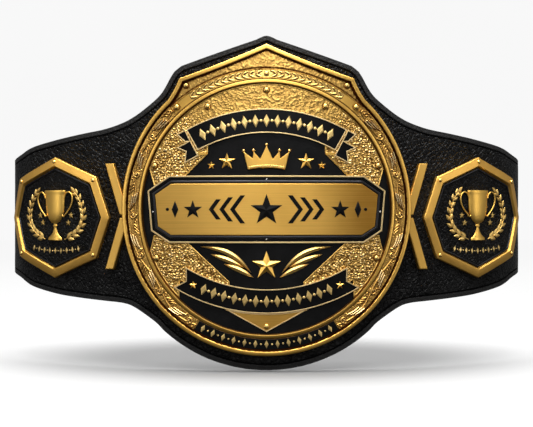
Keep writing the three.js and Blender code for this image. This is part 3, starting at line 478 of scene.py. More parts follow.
def triangulate(loops, grid, keep_out):
    """Triangles over a flat region bounded by closed loops, through the grid's points."""
    edges, start = [], 0
    for loop in loops:
        edges += [(start + i, start + (i + 1) % len(loop)) for i in range(len(loop))]
        start += len(loop)
    points = [Vector(point) for point in np.concatenate([*loops, grid])]
    made = geometry.delaunay_2d_cdt(points, edges, [], 0, 1e-5)
    corners = np.array([tuple(v) for v in made[0]])
    triangles = np.array([list(face) for face in made[2] if len(face) == 3])
    middles = corners[triangles].mean(axis=1)
    wanted = inside(middles, loops[0])
    for hole in keep_out:
        wanted &= ~inside(middles, hole)
    triangles = triangles[wanted]
    a, b, c = (corners[triangles[:, i]] for i in range(3))
    clockwise = np.sum(turned_left(b - a) * (c - a), axis=1) < 0
    triangles[clockwise] = triangles[clockwise][:, ::-1]
    return corners, triangles


def under_side(shape, loops, back, slot=0):
    """The hidden back of a piece, in small enough faces to follow the curve of the waist."""
    grid = clear_of(scatter_grid(loops[0], 9.0), loops, 3.0)
    corners, triangles = triangulate(loops, grid, loops[1:])
    shape.add(at_level(corners, back), triangles, slot, flip=True)


# depth gives each point's painted shading and tone.
def cast(shape, outline, back, level, depth, loops, spacing, holes=(), slot=None, grid=None):
    """A casting: a skin over the outline at the heights that level gives, with side and back walls.

    The loops are creases that the skin follows, such as the two edges of a step.
    """
    walls = [anticlockwise(line) for line in (outline, *holes)]
    lines = [*walls, *(anticlockwise(loop) for loop in loops)]
    grid = scatter_grid(walls[0], spacing) if grid is None else grid
    near = np.concatenate([resampled(line, spacing * 0.4) for line in lines])
    low, cell = near.min(0), spacing * 0.45
    taken = {tuple(spot) for spot in np.floor((near - low) / cell).astype(int)}
    around = [(i, j) for i in (-1, 0, 1) for j in (-1, 0, 1)]
    spots = np.floor((grid - low) / cell).astype(int)
    clear = [not any((x + i, y + j) in taken for i, j in around) for x, y in spots]
    corners, triangles = triangulate(lines, grid[clear], walls[1:])
    slots = slot(corners[triangles].mean(axis=1)) if slot else 0
    shape.add(at_level(corners, level(corners)), triangles, slots, depth=depth(corners))
    for k, line in enumerate(walls):
        rows = [at_level(line, back), at_level(line, level(line))]
        shape.lay(rows[::-1] if k else rows)
    under_side(shape, walls, back)


def plate(shape, outline, back, front, bevel=0.5, slot=0, holes=(), spacing=4.0, steps=3, rise=None):
    """A plate with rounded upper edges: walls, a rounding in steps, and a flat or domed top."""
    lines = [anticlockwise(line) for line in (outline, *holes)]
    caps = []
    for k, line in enumerate(lines):
        inward = -bevel if k else bevel
        rings = [at_level(line, back)]
        for turn in np.linspace(0, math.pi / 2, steps + 1):
            moved = offset(line, inward * (1 - math.cos(turn)))
            rings.append(at_level(moved, front - bevel * (1 - math.sin(turn))))
        caps.append(offset(line, inward * 1.35))
        rings.append(at_level(caps[-1], front))
        shape.lay(rings[::-1] if k else rings, slot)
    grid = clear_of(scatter_grid(caps[0], spacing), caps, spacing * 0.4)
    corners, triangles = triangulate(caps, grid, caps[1:])
    top = front if rise is None else front + rise(corners)
    shape.add(at_level(corners, top), triangles, slot)
    under_side(shape, lines, back, slot)


def raised_edge(shape, outline, back, top, width):
    """A thin raised edge round an outline, in the second material."""
    plate(shape, outline, back, top, min(0.25, width * 0.2), 1, [offset(outline, width)], steps=2)


def trimmed_plate(shape, outline, back, front, top, bevel=0.1, tone=0.0):
    """A flat bed in the first material and a thin raised edge round it in the second."""
    plate(shape, offset(outline, TRIM_WIDTH + 0.01), back, front, bevel)
    shape.painted_shadings_and_tones = [tone] * len(shape.points)
    raised_edge(shape, outline, back, top, TRIM_WIDTH)


def lathe(shape, x, y, profile, sides=24, slot=0):
    """A round piece on the belt: profile rows are (radius, level), from the back up to the top."""
    rings = [at_level(circle(x, y, radius, sides), level) for radius, level in profile]
    shape.lay(rings, slot, ends=True)


def stud(shape, x, y, level, radius, rise, sides=14, slot=0):
    """A round-headed stud, upright for its first quarter."""
    turns = np.linspace(0, math.pi / 2, 6)[:-1]
    head = [(radius * math.cos(t) ** 0.8, level + rise * (0.25 + 0.75 * math.sin(t))) for t in turns]
    lathe(shape, x, y, [(radius, level), *head, (radius * 0.12, level + rise)], sides, slot)


def wire(shape, route, level, radius, taper, sides=10, ahead=None):
    """A round wire laid along a flat route. A short one may keep a single direction, ahead."""
    heading = np.gradient(route, axis=0) if ahead is None else np.tile(ahead, (len(route), 1))
    across = turned_left(unit(heading))
    levels = np.broadcast_to(level, len(route))
    angles = np.arange(sides) / sides * TAU
    rings = []
    for spot, aside, height, size in zip(route, across, levels, radius * taper):
        flat = spot + aside * np.cos(angles)[:, None] * size
        rings.append(at_level(flat, height + np.sin(angles) * size))
    shape.lay(rings, flip=True, ends=True)


# Noise made in code, so that hammer marks are real geometry


def cell_noise(points, size, seed, jitter=0.9):
    """Distances to the nearest and second nearest of scattered seeds, and the nearest one's tone."""
    rng = np.random.default_rng(seed)
    scaled = np.asarray(points) / size
    low = np.floor(scaled.min(0)).astype(int) - 2
    shape = np.ceil(scaled.max(0)).astype(int) + 3 - low
    seeds = rng.uniform(0.5 - jitter / 2, 0.5 + jitter / 2, (*shape, 2))
    tones = rng.uniform(0, 1, tuple(shape))
    cell = np.floor(scaled).astype(int)
    first, second = np.full((2, len(scaled)), np.inf)
    tone = np.zeros(len(scaled))
    for i in (-1, 0, 1):
        for j in (-1, 0, 1):
            index = cell + [i, j]
            x, y = (index - low).T
            gap = np.hypot(*(scaled - index - seeds[x, y]).T)
            closer = gap < first
            second = np.where(closer, first, np.minimum(second, gap))
            tone = np.where(closer, tones[x, y], tone)
            first = np.where(closer, gap, first)
    return first, second, tone


def value_noise(points, size, seed):
    rng = np.random.default_rng(seed)
    scaled = np.asarray(points) / size
    low = np.floor(scaled.min(0)).astype(int) - 1
    shape = np.ceil(scaled.max(0)).astype(int) + 2 - low
    table = rng.uniform(-1, 1, tuple(shape))
    cell = np.floor(scaled).astype(int)
    along, up = smooth_step(scaled - cell, 0, 1).T
    x, y = (cell - low).T
    low_row = table[x, y] * (1 - along) + table[x + 1, y] * along
    high_row = table[x, y + 1] * (1 - along) + table[x + 1, y + 1] * along
    return low_row * (1 - up) + high_row * up


def warped(points, size, seeds, amount):
    return np.stack([value_noise(points, size, seed) for seed in seeds], axis=1) * amount


def granules(points, seed, depth=0.6, size=1.95):
    """Heights of a hammered ground: close, uneven pebbles with sharp hollows between them."""
    warp = warped(points, size * 1.3, (seed + 3, seed + 4), size * 0.5)
    first, second, tone = cell_noise(points + warp, size, seed)
    pebble = np.clip(1.05 - first * 1.3, 0, 1) ** 0.7
    crease = np.clip((second - first) * 3.0, 0, 1)
    fine = value_noise(points, size * 0.4, seed + 9)
    return depth * (pebble * (0.35 + 0.85 * tone) * crease + 0.16 * fine)


def crinkles(points, seed, depth=0.6, size=2.5):
    """Heights of a crumpled foil ground: short sharp folds that run in all directions."""
    warp = warped(points, size * 0.8, (seed + 5, seed + 6), size * 0.7)
    large = 1 - np.abs(value_noise(points + warp, size, seed + 1)) * 2.1
    small = 1 - np.abs(value_noise(points + warp * 0.5, size * 0.42, seed + 2)) * 2.0
    return depth * (0.62 * np.clip(large, 0, 1) ** 1.2 + 0.42 * np.clip(small, 0, 1))


def away_from_top(points):
    """0 near the top of the medallion, rising to 1 towards its sides."""
    return smooth_step(ring_angle(points), math.radians(24), math.radians(48))


def hammered(points, seed, depth=0.7):
    """Crumpled near the top of the medallion and granular towards its sides and foot."""
    share = away_from_top(points)
    return crinkles(points, seed, depth * 0.6) * (1 - share) + granules(points, seed, depth) * share


def near_rivets(points, spread=1.5):
    """1 in a narrow ring round the foot of each rivet, and 0 away from them; it places painted shade round
    the rivets.
    """
    shade = np.zeros(len(points))
    for _, angle, reach, _ in RIVETS:
        for side in (1, -1):
            spot = polar(0, RING_LIFT, reach, math.pi / 2 - side * math.radians(angle))
            gap = np.hypot(*(points - spot).T) - RIVET_RADIUS
            shade = np.maximum(shade, 1 - smooth_step(np.abs(gap), 0.3, spread))
    return shade


# Shader maths


class Socket:
    """A value or colour on its way through a tree of nodes."""

    def __init__(self, tree, socket):
        self.tree = tree
        self.socket = socket

    def maths(self, operation, *values):
        return self.tree.node("ShaderNodeMath", {"operation": operation}, dict(enumerate(values)))

    def __add__(self, other):
        return self.maths("ADD", self, other)

    def __sub__(self, other):
        return self.maths("SUBTRACT", self, other)

    def __rsub__(self, other):
        return self.maths("SUBTRACT", other, self)

    def __mul__(self, other):
        return self.maths("MULTIPLY", self, other)

    __radd__ = __add__
    __rmul__ = __mul__

    def clamped(self):
        return self.tree.node("ShaderNodeClamp", {}, {"Value": self})

    def stepped(self, low, high):
        """0 below low and 1 above high, with a smooth change between."""
        settings = {"interpolation_type": "SMOOTHSTEP"}
        values = {"Value": self, "From Min": low, "From Max": high}
        return self.tree.node("ShaderNodeMapRange", settings, values)


class Tree:
    """The nodes of a material or of the world, and the shader that they feed."""

    def __init__(self, owner, shader):
        owner.use_nodes = True
        self.nodes = owner.node_tree.nodes
        self.links = owner.node_tree.links
        self.shader = self.nodes[shader]

    def fill(self, socket, value):
        if isinstance(value, Socket):
            self.links.new(value.socket, socket)
        else:
            socket.default_value = value

    def node(self, kind, settings, values, output=0):
        made = self.nodes.new(kind)
        for key, value in settings.items():
            if key == "stops":
                ramp = made.color_ramp.elements
                while len(ramp) < len(value):
                    ramp.new(0.5)
                for element, (position, tone) in zip(ramp, value):
                    element.position = position
                    element.color = (tone, tone, tone, 1)
            else:
                setattr(made, key, value)
        for key, value in values.items():
            self.fill(made.inputs[key], value)
        return Socket(self, made.outputs[output])

    def feed(self, **values):
        for key, value in values.items():
            self.fill(self.shader.inputs[key.replace("_", " ")], value)


class Finish(Tree):
    """One material: a Principled shader and the nodes that feed it."""

    def __init__(self, name, **values):
        self.material = bpy.data.materials.new(name)
        super().__init__(self.material, "Principled BSDF")
        self.place = self.node("ShaderNodeTexCoord", {}, {}, "Object")
        self.feed(**values)

    def noise(self, scale, detail=4, roughness=0.55, vector=None):
        values = {"Vector": vector or self.place, "Scale": scale, "Detail": detail, "Roughness": roughness}
        return self.node("ShaderNodeTexNoise", {}, values)

    def cells(self, scale, feature):
        values = {"Vector": self.place, "Scale": scale}
        return self.node("ShaderNodeTexVoronoi", {"feature": feature}, values)

    def vector(self, operation, *values, output=0):
        return self.node("ShaderNodeVectorMath", {"operation": operation}, dict(enumerate(values)), output)

    def mixed(self, share, first, second):
        first, second = (tone if isinstance(tone, Socket) else (*tone, 1.0) for tone in (first, second))
        return self.node("ShaderNodeMix", {"data_type": "RGBA"}, {"Factor": share, 6: first, 7: second}, 2)

    def hollow(self):
        """Each point's painted shading and tone: above 0 painted shade with patina in its hollows, below 0
        a painted highlight on its ridges.
        """
        return self.node("ShaderNodeAttribute", {"attribute_name": "hollow"}, {}, 2)

    def bump(self, height, strength, distance):
        values = {"Height": height, "Strength": strength, "Distance": distance}
        return self.node("ShaderNodeBump", {}, values)


def grey(tone):
    return (tone, tone, tone)


def leather_finish(name, grain):
    """Grained hide: 1 marks the sewn channel, painted darker as painted shade, and -1 the smooth border
    outside it, painted lighter as a painted sheen.
    """
    hide = Finish(name, Metallic=0.0, Specular_IOR_Level=0.13)
    warp = hide.noise(grain * 0.4, 2)
    pebbles = hide.cells(grain, "SMOOTH_F1")
    creases = hide.cells(grain * 0.62, "DISTANCE_TO_EDGE")
    folds = hide.noise(38, 5, 0.6)
    fine = hide.noise(grain * 3, 3, 0.6)
    seam = hide.hollow()
    border = (seam * -1.0).clamped()
    trench = seam.clamped()
    height = (creases.stepped(0.0, 0.2) * 0.9 - pebbles * 0.8 + warp * 0.6) * (1.0 - border * 0.75)
    height = height + fine * 0.35 + folds * 0.9
    # Painted shade darkens the sewn channel and a painted sheen lightens the smooth border; the folds give
    # random tone.
    tone = (folds * 0.9 + warp * 0.3).stepped(0.35, 0.95) + border * 1.7 - trench * 2.0
    hide.feed(
        Base_Color=hide.mixed((tone * 0.5).clamped(), (0.0005, 0.0005, 0.0006), (0.014, 0.0138, 0.0135)),
        Roughness=0.30 + fine * 0.18 + border * 0.08 + trench * 0.45,
        Normal=hide.bump(height, 0.9, 0.0011),
    )
    return hide.material


# Colour of the hollows: patina together with painted shade. The second colour is the painted highlight on
# the ridges.
PATINA_AND_SHADE = (0.12, 0.036, 0.008)
PAINTED_HIGHLIGHT = (1.0, 0.86, 0.56)


def gold_finish(name, colour, dark, roughness, patina_and_shade=PATINA_AND_SHADE, cloud=26.0, painted_highlight=PAINTED_HIGHLIGHT):
    """Gold with soft tone changes, brown patina and painted shade in its hollows and a painted highlight on
    its ridges.
    """
    metal = Finish(name, Metallic=1.0)
    # The positive part is painted shade with patina in the hollows, the negative part a painted highlight
    # on the ridges.
    place = metal.hollow()
    hollow = place.clamped()
    ridge = (place * -1.0).clamped()
    clouds = metal.noise(cloud, 4, 0.6)
    smudge = metal.noise(cloud * 6, 4, 0.65)
    body = metal.mixed(clouds.stepped(0.3, 0.75) * 0.4, colour, dark)
    metal.feed(
        Base_Color=metal.mixed(hollow, metal.mixed(ridge, body, painted_highlight), patina_and_shade),
        Roughness=roughness + smudge.stepped(0.4, 0.8) * 0.07 + hollow * 0.2 - ridge * 0.06,
        Normal=metal.bump(metal.noise(cloud * 5, 3), 0.012, 0.0001),
    )
    return metal.material


def brushed_finish(name, colour, dark):
    """Brushed gold that darkens with the painted shading and tone that each point carries."""
    metal = Finish(name, Metallic=1.0)
    lines = metal.noise(150.0, 4, 0.7, metal.vector("MULTIPLY", metal.place, (0.05, 0.05, 9.0)))
    clouds = metal.noise(14, 3, 0.5)
    shade = lines.stepped(0.3, 0.75) * 0.25 + clouds.stepped(0.35, 0.7) * 0.25 + metal.hollow() * 0.75
    metal.feed(
        Base_Color=metal.mixed(shade.clamped(), colour, dark),
        Roughness=0.36 + lines * 0.1,
        Normal=metal.bump(lines, 0.12, 0.0003),
    )
    return metal.material


def enamel_finish(name, tone, roughness, relief):
    enamel = Finish(name, Metallic=0.0, Specular_IOR_Level=0.12, Coat_Roughness=0.08, Coat_Weight=0.03)
    speck = enamel.noise(700, 3, 0.6)
    cloud = enamel.noise(60, 3, 0.5)
    light = (tone * 2.2, tone * 2.2, tone * 2.3)
    enamel.feed(
        Base_Color=enamel.mixed(cloud.stepped(0.35, 0.7), (tone, tone, tone * 1.05), light),
        Roughness=roughness + speck * 0.14,
        Normal=enamel.bump(speck * 0.5 + cloud, relief, 0.0003),
    )
    return enamel.material


def thread_finish():
    thread = Finish("stitch_thread", Metallic=0.0, Specular_IOR_Level=0.03)
    twist = thread.noise(900, 3, 0.6)
    thread.feed(
        Base_Color=thread.mixed(twist, grey(0.0006), grey(0.003)),
        Roughness=0.55 + twist * 0.2,
        Normal=thread.bump(twist, 0.4, 0.0003),
    )
    return thread.material


HIDE = leather_finish("black_hide", 400.0)
PANEL_HIDE = leather_finish("panel_hide", 520.0)
GOLD = gold_finish("polished_gold", (0.96, 0.57, 0.125), (0.62, 0.32, 0.06), 0.32)
BRIGHT = gold_finish("bright_gold", (1.0, 0.67, 0.205), (0.76, 0.43, 0.09), 0.25)
HAMMERED = gold_finish("hammered_gold", (0.94, 0.58, 0.15), (0.66, 0.36, 0.075), 0.27, cloud=60.0)
ANTIQUE = gold_finish("antique_gold", (0.78, 0.45, 0.11), (0.54, 0.29, 0.06), 0.27, cloud=60.0,
                      painted_highlight=(1.0, 0.78, 0.40))
SATIN = gold_finish("satin_gold", (0.82, 0.485, 0.11), (0.60, 0.32, 0.06), 0.38)
WORN = gold_finish("worn_gold", (0.97, 0.565, 0.125), (0.70, 0.365, 0.065), 0.42, cloud=34.0)
CUP_GOLD = gold_finish("cup_gold", (1.0, 0.61, 0.135), (0.92, 0.51, 0.09), 0.36)
LEAF_GOLD = gold_finish("leaf_gold", (1.0, 0.68, 0.22), (0.80, 0.46, 0.11), 0.38, cloud=90.0)
PALE = gold_finish("pale_gold", (1.0, 0.71, 0.27), (0.86, 0.56, 0.18), 0.34)
TRIM = gold_finish("silvery_gold", (1.0, 0.74, 0.36), (0.80, 0.54, 0.22), 0.40)
NICKEL = gold_finish("nickel", (0.62, 0.61, 0.58), (0.4, 0.39, 0.37), 0.22, grey(0.05))
SMOKED = gold_finish("smoked_nickel", (0.060, 0.060, 0.064), (0.035, 0.035, 0.038), 0.30, grey(0.02))
BRUSHED = brushed_finish("brushed_gold", (0.97, 0.575, 0.13), (0.48, 0.235, 0.035))
ENAMEL = enamel_finish("black_enamel", 0.0012, 0.24, 0.16)
GROUND = enamel_finish("black_ground", 0.0016, 0.36, 0.9)
THREAD = thread_finish()


# Leather strap

WING_TOP = [
    (0.586, 1.037), (0.638, 0.998), (0.662, 0.963), (0.706, 0.886), (0.749, 0.830), (0.837, 0.759),
    (0.927, 0.699), (1.018, 0.656), (1.161, 0.616), (1.361, 0.587), (1.577, 0.554), (1.816, 0.510),
    (1.984, 0.460),
]
WING_BOTTOM = [
    (0.927, -0.634), (1.018, -0.606), (1.161, -0.595), (1.361, -0.581),
    (1.577, -0.560), (1.816, -0.515), (1.984, -0.457),
]


def strap_outline():
    wing = WING_TOP[-1][0] * RING_RADIUS
    tail = STRAP_END - TAIL_CORNER
    corner = TAIL_HALF_HEIGHT - TAIL_CORNER
    peak = PEAK_HEIGHT + CROWN_MARGIN
    belly_radius = RING_RADIUS + RING_MARGIN
    middle = wing + SIDE_LENGTH / 2
    crown = bow((0, peak), (3.0, peak), (9.0, peak - 3.4), 4)
    turn = [(wing + 23, 57.0), (wing + 47, 55.2), (middle, TAIL_HALF_HEIGHT * 1.08), (middle + 60, 52.4)]
    flank = spline([*np.array(WING_TOP) * RING_RADIUS, *turn, (tail, TAIL_HALF_HEIGHT)], 3.5)
    upper = arc(tail, corner, TAIL_CORNER, math.pi / 2, 0, 8)
    lower = arc(tail, -corner, TAIL_CORNER, 0, -math.pi / 2, 8)
    belly = arc(0, RING_LIFT, belly_radius, -math.pi * 0.275, -math.pi / 2, 44)
    joint = polar(0, RING_LIFT, belly_radius, -math.pi * 0.25)
    back = [(x, -y) for x, y in turn[::-1]]
    wing_foot = np.array(WING_BOTTOM)[::-1] * RING_RADIUS
    under = spline([(tail, -TAIL_HALF_HEIGHT), *back, *wing_foot, joint, belly[0]], 3.5)
    right = np.concatenate([crown, flank, upper[1:-1], lower[1:], under[1:-1], belly])
    return anticlockwise(resampled(both_halves(right), 5.0))


STUD_PLACES = [
    (column * STUD_COLUMN_PITCH / 2, row * STUD_ROW_PITCH / 2) for column in (-1, 1) for row in (-1, 1)
]


def leather_strap():
    outline = strap_outline()
    holes = [
        circle(start + along, up, STUD_SHANK_RADIUS + GAP, 16)
        for along, up in STUD_PLACES for start in (HALF_LOOP, -HALF_LOOP)
    ]
    seam = inset(outline, STITCH_INSET)
    channel = [inset(outline, STITCH_INSET + side) for side in (-1, -0.4, 0.4, 1)]
    rounding = [inset(outline, EDGE_ROUND * share) for share in (0.3, 0.62, 1.0)]
    crease = [inset(outline, CREASE_INSET + side) for side in (0, 0.35)]

    def level(points):
        edge = distance_to(points, outline)
        fall = EDGE_ROUND * (1 - np.sqrt(np.clip(1 - (1 - edge / EDGE_ROUND) ** 2, 0, 1)))
        round_off = np.where(edge < EDGE_ROUND, fall, 0)
        off_seam = np.abs(edge - STITCH_INSET) / CHANNEL_HALF_WIDTH
        trench = CHANNEL_DEPTH * np.clip(1.7 * (1 - off_seam), 0, 1)
        line = 0.22 * np.clip(1 - np.abs(edge - CREASE_INSET) / 0.35, 0, 1)
        ripple = 0.10 * value_noise(points, 17, 5) + 0.05 * value_noise(points, 6, 6)
        return LEATHER - 0.15 - round_off - trench - line + ripple * smooth_step(edge, 2, 10)

    # Painted shade in the sewn channel (1) and painted sheen on the smooth border outside it (-1).
    def seam_shade_and_sheen(points):
        edge = distance_to(points, outline)
        border = -1.0 * (edge < STITCH_INSET - 0.9)
        return np.where(np.abs(edge - STITCH_INSET) < 0.9, 1.0, border)

    shape = Shape()
    loops = [seam, *channel, *rounding, *crease]
    cast(shape, outline, 0.0, level, seam_shade_and_sheen, loops, 4.5, holes)
    dress("belt_leather", shape, [HIDE], "black_hide", "leather_strap", smooth_angle=50)
    stitching(seam)


def stitching(seam):
    """Sunk saddle stitches all the way round the strap."""
    closed = np.concatenate([seam, seam[:1]])
    run = np.concatenate([[0], np.cumsum(np.hypot(*np.diff(closed, axis=0).T))])
    count = int(run[-1] / STITCH_PITCH)
    shares = np.array([-0.5, -0.44, -0.3, 0, 0.3, 0.44, 0.5])
    taper = np.array([0.25, 0.75, 1, 1, 1, 0.75, 0.25])
    sink = np.array([0.5, 0.22, 0.05, 0, 0.05, 0.22, 0.5])
    level = LEATHER - STITCH_DEPTH + THREAD_RADIUS - sink
    shape = Shape()
    for k in range(count):
        at = (k + 0.5) * run[-1] / count + shares * STITCH_LENGTH
        route = np.stack([np.interp(at, run, closed[:, axis]) for axis in (0, 1)], axis=1)
        wire(shape, route, level, THREAD_RADIUS, taper, 6, route[-1] - route[0])
    dress("edge_stitching", shape, [THREAD], "black_hide", smooth_angle=60)


def press_studs():
    inner, outside = -GAP, 2 * (LEATHER + GAP)
    base = [(0.8, inner - STUD_RISE / 2), (0.9, inner - STUD_RISE / 4), (0.9, inner)]
    cap = [(0.98, 0), (1, 0.5), (0.96, 1.0), (0.84, 1.5), (0.6, 2.0), (0.3, 2.3), (0.05, STUD_RISE)]
    profile = [
        *((STUD_RADIUS * share, level) for share, level in base),
        (STUD_SHANK_RADIUS, inner), (STUD_SHANK_RADIUS, outside),
        *((STUD_RADIUS * share, outside + rise) for share, rise in cap),
    ]
    for k, (along, up) in enumerate(STUD_PLACES):
        shape = Shape()
        lathe(shape, -HALF_LOOP + along, up, profile, 28)
        dress(f"stud_{k + 1}", shape, [NICKEL], "nickel", f"press_stud_{k + 1}", smooth_angle=40)


# Main plate


def plate_outline():
    start = math.pi / 2 - CROWN_MEET_ANGLE
    meet = arc(0, RING_LIFT, RING_RADIUS, start, -math.pi / 2, 96)
    peak = np.array([0, PEAK_HEIGHT])
    shoulder = polar(0, RING_LIFT, RING_RADIUS + SHOULDER_RISE, math.pi / 2 - SHOULDER_ANGLE)
    brow = bow(peak, (peak + shoulder) / 2 + [-1, -2.2], shoulder, 20)
    flank = bow(shoulder, (shoulder + meet[0]) / 2 + [-1.2, -0.8], meet[0], 9)
    return anticlockwise(both_halves(np.concatenate([brow[:-1], flank[:-1], meet])))


def along_profile(value, profile):
    """Height along a profile: rows are (distance, level) and lie close together at a step."""
    return np.interp(value, *zip(*profile))


def from_ring(points):
    return np.hypot(points[:, 0], points[:, 1] - RING_LIFT)


def ring_angle(points):
    """Angle of each point from straight up, from 0 to pi on both sides."""
    return np.abs(np.arctan2(points[:, 0], points[:, 1] - RING_LIFT))


# Rows of (distance inwards, fall below the rim) and (distance inwards, rise over the floor)
RIM_PROFILE = [
    (0, 1.4), (0.1, 0.9), (0.3, 0.5), (0.6, 0.24), (1.0, 0.1), (1.6, 0.04), (2.6, 0.0), (3.6, 0.0),
    (3.9, 0.14), (4.15, 0.6), (4.35, 1.7), (RIM_WIDTH, RIM_RISE),
]
INNER_PROFILE = [
    (-0.15, 0.0), (0.0, 1.4), (0.2, 2.3), (0.5, 2.75), (1.0, 2.95), (2.2, 3.2), (3.1, 3.3),
    (3.6, 3.1), (4.0, 2.0), (INNER_RIM_WIDTH, 0.0),
]


def main_plate():
    outline = resampled(plate_outline(), 1.7)
    loops = [inset(outline, distance) for distance, _ in RIM_PROFILE[1:]]
    reaches = [FIELD_RADIUS + INNER_RIM_WIDTH - distance for distance, _ in INNER_PROFILE]
    reaches += [BAND_RADIUS - distance for distance in (0, 0.25, 0.6, 1.6, 2.0)]
    loops += [circle(0, RING_LIFT, reach, 240) for reach in (*reaches, INNER_RIM_RADIUS + 1.0)]

    def ring_level(points):
        """Height over the ring band and its inner rim, measured from the floor."""
        reach = from_ring(points)
        on_title = ring_angle(points) < TITLE_BAND_HALF_ANGLE
        outer = BAND_RADIUS - reach
        inner = INNER_RIM_RADIUS - reach
        band = BAND_RISE + np.where(on_title, TITLE_BAND_RISE, 0)
        bead = np.where(on_title, np.interp(outer, [0.6, 1.6, 2.0], [0.45, 0.45, 0.0]), 0)
        height = band * np.interp(outer, [0, 0.25, 0.6], [0, 0.75, 1.0]) + bead * (outer > 0.5)
        height = np.maximum(np.where(inner < 0, height, 0), along_profile(inner, INNER_PROFILE))
        return np.where(outer < 0, 0, height)

    def level(points):
        edge, reach = distance_to(points, outline), from_ring(points)
        corner = (reach > BAND_RADIUS + 0.2) & (edge > RIM_WIDTH - 0.02)
        rough = hammered(points, 21) * smooth_step(edge, RIM_WIDTH, RIM_WIDTH + 1.2)
        rough *= smooth_step(reach, BAND_RADIUS + 0.2, BAND_RADIUS + 1.2)
        floor = PLATE_FLOOR + np.where(corner, 0.2 + rough, ring_level(points))
        on_rim = RIM_LEVEL - along_profile(edge, RIM_PROFILE)
        return np.where(edge < RIM_WIDTH, np.maximum(on_rim, PLATE_FLOOR), floor)

    def slot(middles):
        edge, reach = distance_to(middles, outline), from_ring(middles)
        corner = (reach > BAND_RADIUS + 0.1) & (edge > RIM_WIDTH)
        return np.select([reach < FIELD_RADIUS, corner], [1, 2], 0)

    # Painted shade, in the patina colour: dark in the groove inside the rim, at the inner rim's edges, in
    # the crown's hammer pits and in a ring round each rivet on the band.
    def hollow(points):
        edge, reach = distance_to(points, outline), from_ring(points)
        groove = (edge > RIM_WIDTH - 0.7) & (reach > BAND_RADIUS - 0.65)
        in_crown = groove & (edge > RIM_WIDTH + 1.0) & (reach > BAND_RADIUS + 1.0)
        inner = (np.abs(reach - INNER_RIM_RADIUS) < 0.6) | (reach < FIELD_RADIUS + 0.7)
        pits = np.clip(0.6 - hammered(points, 21, 1.0) * 1.2, 0, 1)
        shade = np.select([in_crown, groove, inner], [pits, 1.0, 0.9], 0.0)
        on_band = (reach > INNER_RIM_RADIUS) & (edge > RIM_WIDTH)
        return np.maximum(shade, near_rivets(points) * on_band)

    coarse, band, fine = (scatter_grid(outline, spacing) for spacing in (6.0, 1.5, 0.85))
    coarse = coarse[from_ring(coarse) < FIELD_RADIUS - 2]
    band = band[(from_ring(band) < BAND_RADIUS) & (from_ring(band) > FIELD_RADIUS)]
    fine = fine[from_ring(fine) > BAND_RADIUS + 0.5]
    fine = clear_of(fine, [outline], RIM_WIDTH + 0.4)
    shape = Shape()
    grid = np.concatenate([coarse, band, fine])
    cast(shape, outline, PLATE_BACK, level, hollow, loops, 0.6, slot=slot, grid=grid)
    dress("gold_plate", shape, [GOLD, GROUND, HAMMERED], "polished_gold", "main_plate", smooth_angle=48)


def volute(x, y, radius, turns, start, side):
    """A spiral that winds in to its eye."""
    share = np.linspace(0, 1, 70)
    angle = start + side * share * turns * TAU
    reach = radius * (1 - share) ** 0.75 + 0.3
    return np.stack([x + reach * np.cos(angle), y + reach * np.sin(angle)], axis=1)


def leaf_swell(share):
    return 0.35 + 0.65 * math.sin(math.pi * share**0.6) if share < 1 else 0.1


